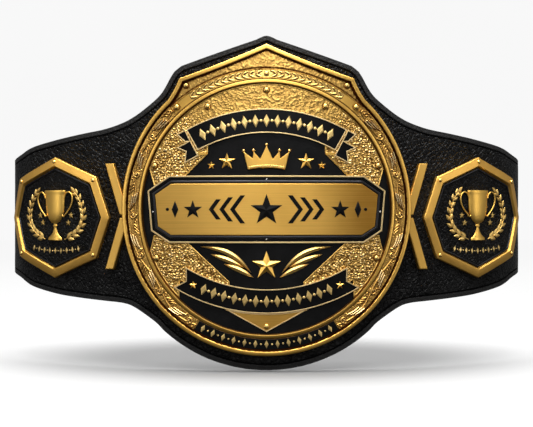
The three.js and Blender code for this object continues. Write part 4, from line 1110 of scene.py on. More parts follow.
class Chasing:
    """Relief on a stretch of the ring, kept as heights over a fine grid of run and width."""

    def __init__(self, inner, outer, start, end, step):
        self.start, self.middle, self.half = start, (inner + outer) / 2, (outer - inner) / 2
        self.length = (end - start) * self.middle
        self.columns = int(self.length / step)
        self.rows = int(2 * self.half / step)
        run = np.linspace(0, self.length, self.columns)
        across = np.linspace(-self.half, self.half, self.rows)
        self.grid = np.stack(np.meshgrid(run, across, indexing="ij"), axis=-1).reshape(-1, 2)
        self.height = np.zeros(len(self.grid))

    def stroke(self, route, width, rise, swell=None):
        """A rounded ridge along a route, its half width following swell from end to end."""
        route = np.atleast_2d(route)
        low, high = route[:, 0].min() - width, route[:, 0].max() + width
        near = (self.grid[:, 0] > low) & (self.grid[:, 0] < high)
        local = self.grid[near]
        best = self.height[near]
        for k, spot in enumerate(route):
            share = k / max(1, len(route) - 1)
            size = width * (swell(share) if swell else 1)
            gap = np.hypot(*(local - spot).T) / max(size, 0.05)
            best = np.maximum(best, rise * np.sqrt(np.clip(1 - gap * gap, 0, 1)))
        self.height[near] = best

    def blade(self, root, tip, bend, width, rise):
        """A leaf stroke: thick in its first half and drawn out to a point."""
        middle = (np.array(root) + tip) / 2 + bend
        self.stroke(bow(root, middle, tip, 26), width, rise, leaf_swell)

    def trim(self, low, high):
        """Lowers the relief towards both edges of the strip."""
        self.height *= smooth_step(self.half - np.abs(self.grid[:, 1]), low, high)

    def shade(self, reach=3):
        """Painted shading: above 0, painted shade where a place lies under its surroundings, and below 0, a
        painted highlight on the ridges.
        """
        field = self.height.reshape(self.columns, self.rows)
        padded = np.pad(field, reach, mode="edge")
        shifts = range(2 * reach + 1)
        around = sum(padded[i:i + self.columns, j:j + self.rows] for i in shifts for j in shifts)
        around /= len(shifts) ** 2
        # Painted highlight on the crests of the relief.
        ridge = smooth_step(self.height, 0.85, 1.35) * 0.9
        return np.clip((around - field) * 3.4, 0, 0.9).reshape(-1) - ridge

    def skin(self, back, floor):
        """A closed shape with the relief on top."""
        angle = math.pi / 2 - self.start - self.grid[:, 0] / self.middle
        reach = self.middle + self.grid[:, 1]
        flat = np.column_stack([reach * np.cos(angle), RING_LIFT + reach * np.sin(angle)])
        points = at_level(flat, self.height + floor)
        rows, columns = self.rows, self.columns
        shape = Shape()
        shape.lay(points.reshape(columns, rows, 3), open_rows=True, depth=self.shade())
        border = [*range(rows), *range(2 * rows - 1, columns * rows, rows),
                  *range(columns * rows - 2, (columns - 1) * rows - 1, -1),
                  *range((columns - 2) * rows, 0, -rows)]
        rim = points[border]
        # The side walls carry painted shade.
        shape.lay([rim, at_level(rim[:, :2], back)], flip=True, depth=np.full(2 * len(rim), 0.8))
        under_side(shape, [anticlockwise(rim[:, :2])], back)
        return shape


# Share of the pitch, share of the half width and radius
FILIGREE_PEARLS = [(0.665, -0.66, 0.85), (0.70, -0.34, 0.6), (0.935, 0.72, 0.8), (0.975, 0.42, 0.55)]


def filigree():
    """Acanthus scrolls, plumes of long leaf strokes and pearls on a softly grained ground."""
    start = TITLE_BAND_HALF_ANGLE + 0.006
    end = math.pi - LOWER_PANEL_HALF_ANGLE - 0.006
    relief = Chasing(INNER_RIM_RADIUS + GAP, BAND_RADIUS, start, end, 0.3)
    half, pitch = relief.half, relief.length / FILIGREE_PITCHES
    wave = np.linspace(0, 1, 60)
    for k in range(FILIGREE_PITCHES):
        side = 1 if k % 2 else -1

        def spot(ahead, up):
            return (k + ahead) * pitch, side * half * up

        stem = np.stack([(k + wave) * pitch, side * half * 0.66 * np.sin(wave * math.pi)], axis=1)
        relief.stroke(stem, 0.8, 0.9, lambda share: 0.7 + 0.5 * math.sin(math.pi * share))
        for j in range(3):
            lane = 0.80 - 0.46 * j
            root, tip = spot(0.24 + 0.04 * j, lane), spot(0.57 + 0.06 * j, lane - 0.50)
            relief.blade(root, tip, (0.0, side * half * 0.30), 0.95, 1.6 - 0.1 * j)
        eye = spot(0.80, 0.02)
        spiral = volute(*eye, half * 0.62, 1.2, math.pi * 0.5 * side, -side)
        relief.stroke(spiral, 0.8, 1.0, lambda share: 1.2 - 0.55 * share)
        relief.stroke([eye], 0.85, 1.25)
        for j in range(3):
            root, tip = spot(0.03 + 0.075 * j, -0.12), spot(0.13 + 0.085 * j, -0.86)
            relief.blade(root, tip, (-1.1, 0.0), 0.72, 0.98)
        for ahead, up, size in FILIGREE_PEARLS:
            relief.stroke([spot(ahead, up)], size, 0.4 + size * 0.7)
    grain = granules(relief.grid, 31, 0.30, 1.25)
    relief.height = np.where(relief.height < 0.12, grain, relief.height)
    relief.trim(-0.2, 0.3)
    shape = relief.skin(BAND_LEVEL + GAP, BAND_LEVEL + GAP + 0.35)
    dress_both("scrollwork_{}", shape, [ANTIQUE], "antique_gold", "filigree_{}", 75)


def title_garland():
    """A garland of leaf pairs that meet at a pearl, in low relief on the ring's top band."""
    span = GARLAND_HALF_ANGLE
    relief = Chasing(INNER_RIM_RADIUS + 1.1, BAND_RADIUS - 2.1, -span, span, 0.33)
    half, centre = relief.half, relief.length / 2
    relief.stroke([(centre, 0)], half * 0.62, 0.9)
    pitch = (centre - half) / GARLAND_PAIRS
    for side in (1, -1):
        for k in range(GARLAND_PAIRS):
            root = centre + side * (half * 0.9 + (k + 0.95) * pitch)
            tip = root - side * pitch * 0.85
            for up in (1, -1):
                relief.blade((root, up * 0.15), (tip, up * half * 0.86), (side * 0.7, up * 0.8), 0.95, 0.8)
            relief.stroke([(root + side * 0.2, 0)], 0.62, 0.75)
    relief.trim(0.0, 0.3)
    level = BAND_LEVEL + TITLE_BAND_RISE
    shape = relief.skin(level - 0.05, level + 0.04)
    dress("title_garland", shape, [BRIGHT], "polished_gold", smooth_angle=75)


def lower_band_panel():
    first, last = -math.pi / 2 + LOWER_PANEL_HALF_ANGLE, -math.pi / 2 - LOWER_PANEL_HALF_ANGLE
    back = BAND_LEVEL + GAP
    outline = np.concatenate([
        arc(0, RING_LIFT, BAND_RADIUS, first, last, 60),
        arc(0, RING_LIFT, INNER_RIM_RADIUS + GAP, last, first, 60),
    ])
    shape = Shape()
    plate(shape, outline, back, back + LOWER_PANEL_THICKNESS, 0.3, spacing=3.5)
    dress("lower_panel", shape, [ENAMEL], "black_enamel", "lower_band_panel")


# Grounds inside the ring; corners are shares of the field's radius

GROUND_RADIUS = FIELD_RADIUS - GAP
UPPER_GROUND_RING = math.radians(161)
UPPER_GROUND_CORNERS = [(0.905, 0.181), (0.64, 0.268), (0.463, 0.44)]
LOWER_GROUND_RING = math.radians(-20)
LOWER_GROUND_CORNERS = [(0.905, -0.213), (0.63, -0.27), (0.292, -0.585)]


def ground_corners(shares):
    return np.array(shares) * GROUND_RADIUS + [0, RING_LIFT]


def upper_ground_outline():
    side = ground_corners(UPPER_GROUND_CORNERS)
    hidden = UPPER_RIBBON_RADIUS - RIBBON_HEIGHT * 0.4
    reach = math.asin(side[-1][0] / hidden)
    under = arc(0, UPPER_RIBBON_MIDDLE, hidden, math.pi / 2 - reach, math.pi / 2 + reach, 30)
    top = arc(0, RING_LIFT, GROUND_RADIUS, UPPER_GROUND_RING, math.pi - UPPER_GROUND_RING, 110)
    return np.concatenate([top, side, under, mirrored(side)])


def lower_ground_outline():
    side = ground_corners(LOWER_GROUND_CORNERS)
    belly = LOWER_RIBBON_RADIUS - RIBBON_HEIGHT * 0.4
    start = -math.pi / 2 + math.asin(side[-1][0] / belly)
    under = arc(0, LOWER_RIBBON_MIDDLE, belly, start, start + math.radians(18), 14)
    outer = arc(0, RING_LIFT, GROUND_RADIUS, LOWER_GROUND_RING - math.radians(26), LOWER_GROUND_RING, 26)
    return np.concatenate([side, under, outer])


def hammered_ground(outline, seed):
    """A raised ground with a bright smooth lip and hammer marks inside it."""
    outline = resampled(anticlockwise(outline), 2.5)
    lip = GROUND_LIP
    loops = [inset(outline, distance) for distance in (0.18, lip, lip + 0.35)]

    def level(points):
        edge = distance_to(points, outline)
        marks = (hammered(points, seed, 0.95) - 0.05) * smooth_step(edge, lip, lip + 0.9)
        return FIELD_FRONT + np.interp(edge, [0, 0.18, lip, lip + 0.35], [-0.2, 0, 0, -0.35]) + marks

    # Painted shade in the hammer pits, stronger away from the top, a painted highlight on the raised bumps
    # and painted shade round the rivets' feet.
    def hollow(points):
        rough = hammered(points, seed, 1.0)
        blend = smooth_step(distance_to(points, outline), lip, lip + 0.5)
        deep = np.clip(0.98 - rough * 1.9, 0, 1) * blend * (0.5 + 0.5 * away_from_top(points))
        proud = smooth_step(rough, 0.5, 0.85) * blend * 0.7
        return np.maximum(deep - proud, near_rivets(points) * 1.6 - 0.6)

    shape = Shape()
    cast(shape, outline, FIELD_BACK, level, hollow, loops, 0.55)
    return shape


def hammered_grounds():
    upper = hammered_ground(upper_ground_outline(), 41)
    dress("ground_upper", upper, [HAMMERED], "hammered_gold", "hammered_ground_upper", smooth_angle=70)
    lower = hammered_ground(lower_ground_outline(), 52)
    dress_both("ground_{}", lower, [HAMMERED], "hammered_gold", "hammered_ground_{}", 70)


# Nameplate


def nameplate_outline():
    half, corner = NAMEPLATE_HALF_LENGTH, NAMEPLATE_HALF_LENGTH - NAMEPLATE_CORNER_LENGTH
    right = np.array([
        (corner, NAMEPLATE_TOP),
        (half, NAMEPLATE_TOP - NAMEPLATE_CORNER_HEIGHT),
        (half - NAMEPLATE_LEAN, NAMEPLATE_BOTTOM + NAMEPLATE_CORNER_HEIGHT * 0.8),
        (corner, NAMEPLATE_BOTTOM),
    ])
    return anticlockwise(np.concatenate([right, mirrored(right)]))


def nameplate():
    outline = nameplate_outline()
    front = NAMEPLATE_FRONT
    shape = Shape()
    bed = resampled(offset(outline, NAMEPLATE_EDGE_WIDTH + 0.02), 3.0)
    plate(shape, bed, RELIEF_BACK, front, 0.12, spacing=5.0)
    edge = resampled(outline, 3.0)
    raised_edge(shape, edge, RELIEF_BACK, front + NAMEPLATE_EDGE_RISE, NAMEPLATE_EDGE_WIDTH)
    lip = resampled(offset(outline, NAMEPLATE_BORDER - LIP_REACH), 3.0)
    plate(shape, lip, RELIEF_BACK, front + 0.9, 0.85, 3, [offset(lip, LIP_WIDTH)], 6.0, 4)
    side, middle = NAMEPLATE_HALF_LENGTH - 5.0, RING_LIFT - 3
    above_and_below = [(0, NAMEPLATE_TOP - PIN_INSET), (0, NAMEPLATE_BOTTOM + PIN_INSET)]
    for x, y in (*above_and_below, (-side, middle), (side, middle)):
        stud(shape, x, y, front, PIN_RADIUS, PIN_RISE, slot=2)
    dress("nameplate_border", shape, [ENAMEL, TRIM, NICKEL, SMOKED], "black_enamel", "nameplate_frame")
    panel = Shape()
    inner = resampled(offset(outline, NAMEPLATE_BORDER), 3.0)
    plate(panel, inner, front + GAP, front + GAP + NAMEPLATE_PANEL_THICKNESS, 0.45, spacing=5.0)
    # Painted shade standing in for the fall of the panel's reflection: the gold panel is painted darker
    # towards its ends, far more towards the right.
    x = np.array(panel.points)[:, 0]
    panel.painted_shadings_and_tones = smooth_step(x, 32, 96) + smooth_step(-x, 60, 115) * 0.16
    dress("nameplate_gold", panel, [BRUSHED], "brushed_gold", "nameplate_panel")


# Ribbons


def ribbon(name, node, centre, sign, outer, span, notch=0.0):
    """A curved enamel ribbon with a thin bright edge. sign is 1 above the middle and -1 below."""
    start, end = sign * math.pi / 2 - span, sign * math.pi / 2 + span
    middle, tuck = outer - RIBBON_HEIGHT / 2, notch / outer
    outline = resampled(anticlockwise(np.concatenate([
        arc(0, centre, outer, start, end, 80), [polar(0, centre, middle, end - tuck)],
        arc(0, centre, outer - RIBBON_HEIGHT, end, start, 80), [polar(0, centre, middle, start + tuck)],
    ])), 3.0)
    shape = Shape()
    front = RELIEF_BACK + RIBBON_THICKNESS
    trimmed_plate(shape, outline, RELIEF_BACK, front - 0.25, front)
    dress(name, shape, [ENAMEL, TRIM], "black_enamel", node)


# Corners in shares of the ribbon's height, from its upper end
TAIL_CORNERS = [
    (0.02, 0), (0.38, -0.19), (0.02, -0.52), (-0.1, -0.5), (0.4, -0.74), (0, -0.91),
    (0.06, -1.4), (-0.54, -1.08), (-0.48, -0.96),
]
FOLD_CORNERS = [(-0.56, -1.07), (-0.9, -1.05), (-0.82, -0.92), (-0.5, -0.97)]


def ribbon_tails():
    angle = math.pi / 2 - UPPER_RIBBON_HALF_ANGLE
    corner = polar(2 * GAP, UPPER_RIBBON_MIDDLE, UPPER_RIBBON_RADIUS, angle)
    tail, fold = (
        anticlockwise(np.array(rows) * RIBBON_HEIGHT + corner) for rows in (TAIL_CORNERS, FOLD_CORNERS)
    )
    front = RELIEF_BACK + RIBBON_THICKNESS / 2
    shape = Shape()
    trimmed_plate(shape, resampled(tail, 2.5), RELIEF_BACK, front - 0.2, front, 0.08)
    plate(shape, resampled(fold, 2.0), RELIEF_BACK, front, 0.2, 2, spacing=3.0)
    dress_both("tail_{}", shape, [ENAMEL, TRIM, GOLD], "black_enamel", "ribbon_tail_{}")


def ribbons():
    ribbon("ribbon_top", "upper_ribbon", UPPER_RIBBON_MIDDLE, 1, UPPER_RIBBON_RADIUS,
           UPPER_RIBBON_HALF_ANGLE)
    ribbon("ribbon_bottom", "lower_ribbon", LOWER_RIBBON_MIDDLE, -1, LOWER_RIBBON_RADIUS,
           LOWER_RIBBON_HALF_ANGLE, RIBBON_NOTCH)
    ribbon_tails()


def shield_tip():
    edge = LOWER_RIBBON_RADIUS + GAP
    reach = math.asin(SHIELD_HALF_WIDTH / edge)
    top = arc(0, LOWER_RIBBON_MIDDLE, edge, -math.pi / 2 + reach, -math.pi / 2 - reach, 24)
    outline = resampled(anticlockwise([*top, (0, SHIELD_POINT)]), 2.5)
    front = FIELD_BACK + SHIELD_THICKNESS
    shape = Shape()
    trimmed_plate(shape, outline, FIELD_BACK, front - 0.3, front, tone=0.42)
    dress("shield_point", shape, [BRUSHED, TRIM], "brushed_gold", "shield_tip")


# Crown, stars, feathers and rivets

CROWN_POINTS = [(0.5, 0.02), (0.62, 0.93), (0.37, 0.58), (0.35, 0.95), (0.17, 0.55)]


def crown():
    half = np.array(CROWN_POINTS) * [CROWN_WIDTH, CROWN_HEIGHT] + [0, CROWN_FOOT]
    peak = (0, CROWN_FOOT + CROWN_HEIGHT * 1.24)
    foot = bow(half[0] * [-1, 1], (0, CROWN_FOOT + CROWN_HEIGHT * 0.2), half[0], 16)
    outline = np.concatenate([half, [peak], mirrored(half), foot[1:-1]])
    front = RELIEF_BACK + CROWN_THICKNESS

    def belly(points):
        return -0.5 * (points[:, 0] / (CROWN_WIDTH * 0.62)) ** 2

    shape = Shape()
    plate(shape, resampled(anticlockwise(outline), 2.0), RELIEF_BACK - FIELD_THICKNESS, front,
          spacing=1.6, rise=belly)
    band = np.concatenate([foot + [0, 0.5], (foot + [0, 2.7])[::-1]]) * [0.97, 1]
    plate(shape, anticlockwise(resampled(band, 1.5)), front - 0.8, front + 0.35, 0.3, 1, spacing=1.5)
    turns = np.linspace(-math.pi / 2, math.pi / 2, 11)
    ball = [(max(0.05, BALL_RADIUS * math.cos(t)), RELIEF_BACK + BALL_RADIUS * math.sin(t)) for t in turns]
    tips = [half[1], half[3]]
    for x, y in [*tips, peak, *mirrored(tips)]:
        lathe(shape, x, y + BALL_RADIUS * 0.5, ball, 20, 1)
    dress("crown_relief", shape, [GOLD, BRIGHT], "polished_gold", "crown", smooth_angle=40)


def star(shape, x, y, radius, back, edge, peak):
    """A five-pointed star with a low bevelled edge and facets that meet at its middle."""
    angles = math.pi / 2 + np.arange(10) * math.pi / 5
    reach = np.where(np.arange(10) % 2, radius * STAR_WAIST, radius)
    outline = np.stack([x + reach * np.cos(angles), y + reach * np.sin(angles)], axis=1)
    shape.lay([at_level(outline, back), at_level(outline, edge)])
    facets = [(i, (i + 1) % 10, 10) for i in range(10)]
    shape.add([*at_level(outline, edge), (x, y, peak)], facets)
    shape.add(at_level(outline, back), [range(9, -1, -1)])


def stars():
    along_ribbon = LOWER_RIBBON_RADIUS - RIBBON_HEIGHT / 2
    turn = LOWER_RIBBON_HALF_ANGLE - (RIBBON_NOTCH + 2 * SMALL_STAR_RADIUS) / along_ribbon
    ribbon_spot = polar(0, LOWER_RIBBON_MIDDLE, along_ribbon, turn - math.pi / 2)
    rows = [
        ("star", *polar_share(0.311, 0.377), STAR_RADIUS, FIELD_BACK),
        ("small_star", *polar_share(0.436, 0.348), SMALL_STAR_RADIUS, FIELD_BACK),
        ("ribbon_star", *ribbon_spot, SMALL_STAR_RADIUS, RELIEF_BACK + RIBBON_THICKNESS + GAP),
        ("lower_star", *polar_share(0, -0.455), LOWER_STAR_RADIUS, FIELD_BACK),
    ]
    for name, x, y, radius, back in rows:
        shape = Shape()
        edge = back + STAR_EDGE
        star(shape, x, y, radius, back, edge, edge + STAR_EDGE + STAR_PEAK * radius / LOWER_STAR_RADIUS)
        if x:
            dress_both(name + "_cast_{}", shape, [GOLD], "polished_gold", name + "_{}", 5)
        else:
            dress(name + "_cast", shape, [GOLD], "polished_gold", name, smooth_angle=5)


def polar_share(along, up):
    """A place inside the ring, given in shares of the field's radius."""
    return np.array([along, up]) * FIELD_RADIUS + [0, RING_LIFT]


# Outer and inner end, and how far the upper and lower edges bow, in shares of the field's radius
FEATHERS = [
    ((0.525, -0.305), (0.12, -0.513), 0.079, 0.039),
    ((0.442, -0.364), (0.175, -0.47), 0.027, -0.012),
    ((0.336, -0.441), (0.102, -0.55), 0.028, -0.011),
]


def feather(outer, inner, upper, lower):
    start = polar_share(*outer)
    line = polar_share(*inner) - start
    across = -turned_left(unit(line))
    share = np.linspace(0, 1, 37)[:, None]
    low, high = (start + line * share + across * rise * FIELD_RADIUS * 4 * share * (1 - share)
                 for rise in (lower, upper))
    thickness = FEATHER_EDGE + FEATHER_RIDGE * np.sin(share[:, 0] * math.pi).clip(0) ** 0.5
    section = ((0, 0), (0, 0.55), (0.3, 0.85), (0.58, 1.0), (0.72, 0.86), (1, 0.4), (1, 0))
    shape = Shape()
    rows = [at_level(low + (high - low) * place, FIELD_BACK + thickness * rise) for place, rise in section]
    shape.lay(rows, flip=True, open_rows=True, joined=True)
    return shape


def feathers():
    for k, row in enumerate(FEATHERS, 1):
        dress_both(f"plume_{{}}_{k}", feather(*row), [LEAF_GOLD], "polished_gold", f"feather_{{}}_{k}", 28)


# Name, angle from straight up, distance from the ring's middle and level of the foot
RIVETS = [
    ("rivet_top", 0, FIELD_RADIUS - 6.1, FIELD_FRONT),
    ("rivet_upper", 29.5, FIELD_RADIUS - 6.6, FIELD_FRONT),
    ("rivet_side_upper", 68.8, FIELD_RADIUS - 4.4, FIELD_FRONT),
    ("rivet_side_lower", 114.3, FIELD_RADIUS - 3.6, FIELD_FRONT),
    ("rivet_bottom", 180, FIELD_RADIUS - 6.8, FIELD_BACK + SHIELD_THICKNESS),
    ("rivet_ring", 41, INNER_RIM_RADIUS + BAND_WIDTH / 2, BAND_LEVEL + TITLE_BAND_RISE),
    ("rivet_corner", 32.9, RING_RADIUS + 0.4, PLATE_FLOOR),
]


def rivets():
    for name, angle, reach, level in RIVETS:
        x, y = polar(0, RING_LIFT, reach, math.pi / 2 - math.radians(angle))
        shape = Shape()
        stud(shape, x, y, level + GAP, RIVET_RADIUS, RIVET_RISE, 24)
        if angle % 180:
            dress_both(name + "_head_{}", shape, [BRIGHT], "polished_gold", name + "_{}", 60)
        else:
            dress(name + "_head", shape, [BRIGHT], "polished_gold", name, smooth_angle=60)


# Bars and side plates


def clipped_bar(side):
    """Outline of a slanted bar, cut off along the ring."""
    foot, top = side * BAR_PART, side * (BAR_PART + BAR_HEIGHT)
    lean = BAR_FOOT + BAR_SLANT
    corners = [(BAR_FOOT, foot), (BAR_FOOT + BAR_WIDTH, foot), (lean + BAR_WIDTH, top), (lean, top)]
    outline = resampled(anticlockwise(corners), 1.0)
    limit = RING_RADIUS + GAP
    pushed = np.sqrt(np.maximum(limit**2 - (outline[:, 1] - RING_LIFT) ** 2, 0))
    kept = np.maximum(outline[:, 0], pushed)
    outline[:, 0] = np.where(from_ring(outline) < limit, kept, outline[:, 0])
    return outline[np.hypot(*(outline - np.roll(outline, 1, axis=0)).T) > 0.05]


def chevron_bars():
    for level, side in (("upper", 1), ("lower", -1)):
        shape = Shape()
        plate(shape, clipped_bar(side), PLATE_BACK, PLATE_BACK + BAR_THICKNESS, 0.9, spacing=3.0)
        dress_both(f"bar_{level}_{{}}", shape, [SATIN], "polished_gold", f"chevron_bar_{level}_{{}}")


def side_outline():
    """The octagon of a side plate, from its upper left corner on."""
    half = np.array([
        (0, SIDE_HALF_HEIGHT), (SIDE_CORNER_ALONG, SIDE_CORNER_UP), (SIDE_HALF_WIDTH, 0),
        (SIDE_CORNER_ALONG, -SIDE_CORNER_UP), (0, -SIDE_HALF_HEIGHT),
    ])
    return anticlockwise(both_halves(half) + SIDE_MIDDLE)


def inner_octagon(distance):
    """The side plate's octagon moved inwards, with points along its sides and sharp corners."""
    outline = side_outline()
    moved = offset(outline, distance)
    following = (np.roll(line, -1, axis=0) for line in (outline, moved))
    made = []
    for here, start, there, end in zip(outline, moved, *following):
        count = max(1, math.ceil(np.linalg.norm(there - here) / 3.0))
        made.append(start + (end - start) * np.arange(count)[:, None] / count)
    return np.concatenate(made)


def side_frame():
    front = SIDE_FLOOR + SIDE_FRAME_RISE
    profile = [
        (0, PLATE_BACK), (0, front - 1.1), (0.2, front - 0.82), (0.6, front - 0.62), (6.6, front - 0.05),
        (6.9, front), (7.2, front - 0.1), (7.5, front - 0.5), (7.9, front - 1.9),
        (SIDE_FRAME_WIDTH, front - 2.6), (SIDE_FRAME_WIDTH, PLATE_BACK),
    ]
    shape = Shape()
    shape.lay([at_level(inner_octagon(inward), level) for inward, level in profile], joined=True)
    floor = resampled(offset(side_outline(), SIDE_FRAME_WIDTH), 3.0)
    plate(shape, floor, PLATE_BACK, SIDE_FLOOR, 0.05, spacing=5.0)
    with_rivets = [0, 2, 4, 6, 7]
    for x, y in offset(side_outline(), SIDE_FRAME_WIDTH * 0.44)[with_rivets]:
        stud(shape, x, y, front - 0.8, SIDE_RIVET_RADIUS * 0.85, 1.8, 20, 1)
    return shape


# Shares of the mouth's radius and of the height
CUP_PROFILE = [
    (0.66, 0), (0.66, 0.025), (0.62, 0.05), (0.42, 0.09), (0.24, 0.15), (0.14, 0.22), (0.12, 0.26),
    (0.2, 0.28), (0.2, 0.3), (0.13, 0.318), (0.2, 0.335), (0.4, 0.37), (0.56, 0.41), (0.68, 0.46),
    (0.78, 0.52), (0.84, 0.59), (0.88, 0.7), (0.91, 0.82), (0.94, 0.92), (0.98, 0.945), (1.0, 0.965),
    (0.98, 1.0),
]
HANDLE_ROUTE = [
    (0.9, 0.84), (1.02, 0.92), (1.25, 0.965), (1.5, 0.94), (1.64, 0.86), (1.62, 0.76), (1.48, 0.67),
    (1.25, 0.585), (1.02, 0.52), (0.86, 0.475), (0.72, 0.5),
]


def cup():
    back = SIDE_PANEL_FRONT + GAP
    size, foot = np.array([CUP_MOUTH_RADIUS, CUP_HEIGHT]), [0, CUP_FOOT]
    angles = np.linspace(0, math.pi, 29)
    depth = CUP_DEPTH_SHARE * 1.05
    rows = []
    for radius, up in spline(CUP_PROFILE * size + foot, 0.8):
        flat = np.stack([radius * np.cos(angles), np.full(len(angles), up)], axis=1)
        rows.append(at_level(flat + SIDE_MIDDLE, back + radius * np.sin(angles) * depth))
    shape = Shape()
    shape.lay(rows, flip=True, ends=True)
    for side in (1, -1):
        route = spline(HANDLE_ROUTE * size * [side, 1] + foot, 0.7) + SIDE_MIDDLE
        wire(shape, route, back + 0.75, HANDLE_RADIUS, np.ones(len(route)))
    return shape


# Shares of the laurel's half width and half height
LAUREL_ROUTE = [(0.36, -0.85), (0.68, -0.66), (0.91, -0.37), (1, 0.02), (0.95, 0.45), (0.83, 0.8), (0.7, 1)]


def leaf(shape, root, ahead, size, back):
    """A pointed leaf with a raised midrib."""
    share = np.linspace(0, 1, 9)
    spread = LEAF_WIDTH * size / 2 * np.sin(share**0.75 * math.pi).clip(0) ** 0.9
    spread[0] = spread[-1] = 0.05
    forward = np.array([math.cos(ahead), math.sin(ahead)])
    middle = root + forward * (share * LEAF_LENGTH * size)[:, None]
    aside = turned_left(forward) * spread[:, None]
    arch = LEAF_RISE * np.sin(np.clip(share, 0.06, 0.97) * math.pi) ** 0.5
    section = ((-1, 0.0), (-1, 0.35), (-0.45, 0.8), (0, 1.0), (0.45, 0.8), (1, 0.35), (1, 0.0))
    rows = [at_level(middle + aside * place, back + arch * height) for place, height in section]
    shape.lay(rows, open_rows=True, joined=True)


def laurel_branch():
    route = spline(np.array(LAUREL_ROUTE) * [LAUREL_HALF_WIDTH, LAUREL_HALF_HEIGHT], 0.5) + SIDE_MIDDLE
    back = SIDE_PANEL_FRONT + GAP
    shape = Shape()
    wire(shape, route[::2], back + TWIG_RADIUS, TWIG_RADIUS, np.linspace(1, 0.5, len(route[::2])))
    for k in range(LEAF_PAIRS):
        at = int((0.06 + 0.88 * k / (LEAF_PAIRS - 1)) * (len(route) - 2))
        ahead = math.atan2(*(route[at + 1] - route[at])[::-1])
        for turn in (LEAF_TURN, -LEAF_TURN):
            leaf(shape, route[at], ahead + turn, 1 - 0.25 * k / LEAF_PAIRS, back)
    leaf(shape, route[-1], math.atan2(*(route[-1] - route[-2])[::-1]), 0.8, back)
    return shape


def side_panel():
    panel = Shape()
    outline = resampled(offset(side_outline(), SIDE_FRAME_WIDTH + GAP), 3.0)
    plate(panel, outline, SIDE_FLOOR + GAP, SIDE_PANEL_FRONT, 0.2)
    lip, inner_lip = (inner_octagon(SIDE_FRAME_WIDTH + inward) for inward in (0.8, 2.2))
    plate(panel, lip, SIDE_FLOOR + GAP, SIDE_PANEL_FRONT + 0.9, 0.6, 1, [inner_lip], 6.0, 2)
    return panel


def side_plates():
    small = Shape()
    for x, y in ((18.7, 2.2), (-18.7, 2.2), (15.4, -4.8), (-15.4, -4.8)):
        levels = (SIDE_PANEL_FRONT + rise for rise in (0.02, 0.4, 0.8))
        star(small, SIDE_AT + x, y - SIDE_DROP, 3.1, *levels)
    outer = laurel_branch()
    pieces = [
        ("tray", side_frame(), [WORN, BRIGHT], "polished_gold", "side_frame", 35),
        ("black_panel", side_panel(), [PANEL_HIDE, SMOKED], "black_hide", "side_panel", 35),
        ("cup", cup(), [CUP_GOLD], "polished_gold", "trophy_cup", 50),
        ("branch_outer", outer, [LEAF_GOLD], "polished_gold", "laurel_outer", 50),
        ("branch_inner", outer.mirror(SIDE_AT), [LEAF_GOLD], "polished_gold", "laurel_inner", 50),
        ("panel_stars", small, [LEAF_GOLD], "polished_gold", None, 5),
    ]
    for name, shape, materials, slot, node, smooth_angle in pieces:
        dress_both(name + "_{}", shape, materials, slot, node and node + "_{}", smooth_angle)


# Ornament where a title would stand


def lozenge(shape, x, y, across, tall, turn, back, rise):
    """A low four-sided stud with a flat table."""
    corners = np.array([(across, 0), (0, tall), (-across, 0), (0, -tall)])
    spin = np.array([[math.cos(turn), math.sin(turn)], [-math.sin(turn), math.cos(turn)]])
    rings = [
        at_level(corners @ spin * share + [x, y], back + rise * height)
        for share, height in ((1, 0), (1, 0.45), (0.62, 0.8))
    ]
    shape.lay(rings, ends=True)


def ornament_row(name, centre, radius, sign, half_angle, count, back, tall, rise=0.7, side_at=0.0):
    """Lozenges with pearls between them along an arc, on both sides if it stands off the middle."""
    shape = Shape()
    for k in range(-count, count + 1):
        turn = k / count * half_angle
        x, y = polar(side_at, centre, radius, sign * (math.pi / 2 - turn))
        if k % 2:
            stud(shape, x, y, back, tall * 0.24, rise * 0.9)
        else:
            lozenge(shape, x, y, tall * 0.5, tall, -sign * turn, back, rise)
    if side_at:
        dress_both(name, shape, [PALE], "polished_gold", smooth_angle=5)
    else:
        dress(name, shape, [PALE], "polished_gold", smooth_angle=5)


def chevron(shape, x, y, tall, side, back, front):
    """A pointed stroke like the belt's own bars, its point to the outside."""
    lean, width = tall * 0.36, 4.2
    corners = np.array([
        (0, tall / 2), (width, tall / 2), (width + lean, 0), (width, -tall / 2), (0, -tall / 2), (lean, 0),
    ])
    outline = anticlockwise(corners * [side, 1] + [x, y])
    plate(shape, resampled(outline, 2.0), back, front, 0.3, spacing=3.0, steps=2)


def nameplate_emblem():
    """A star between chevrons, small stars and lozenges, in black enamel on the gold panel."""
    back = NAMEPLATE_FRONT + GAP + NAMEPLATE_PANEL_THICKNESS - 0.02
    middle = (NAMEPLATE_TOP + NAMEPLATE_BOTTOM) / 2
    shape = Shape()
    star(shape, 0, middle - 0.8, 14.5, back, back + 0.35, back + 1.0)
    for side in (1, -1):
        for k, tall in enumerate((25.0, 21.5, 18.0)):
            chevron(shape, side * (18.5 + 10.6 * k), middle, tall, side, back, back + 0.5)
        star(shape, side * 64.5, middle - 0.4, 8.6, back, back + 0.35, back + 0.9)
        lozenge(shape, side * 80.5, middle, 3.0, 7.6, 0, back, 0.8)
        stud(shape, side * 87.5, middle, back, 1.5, 0.6)
    dress("nameplate_emblem", shape, [ENAMEL], "black_enamel", smooth_angle=5)


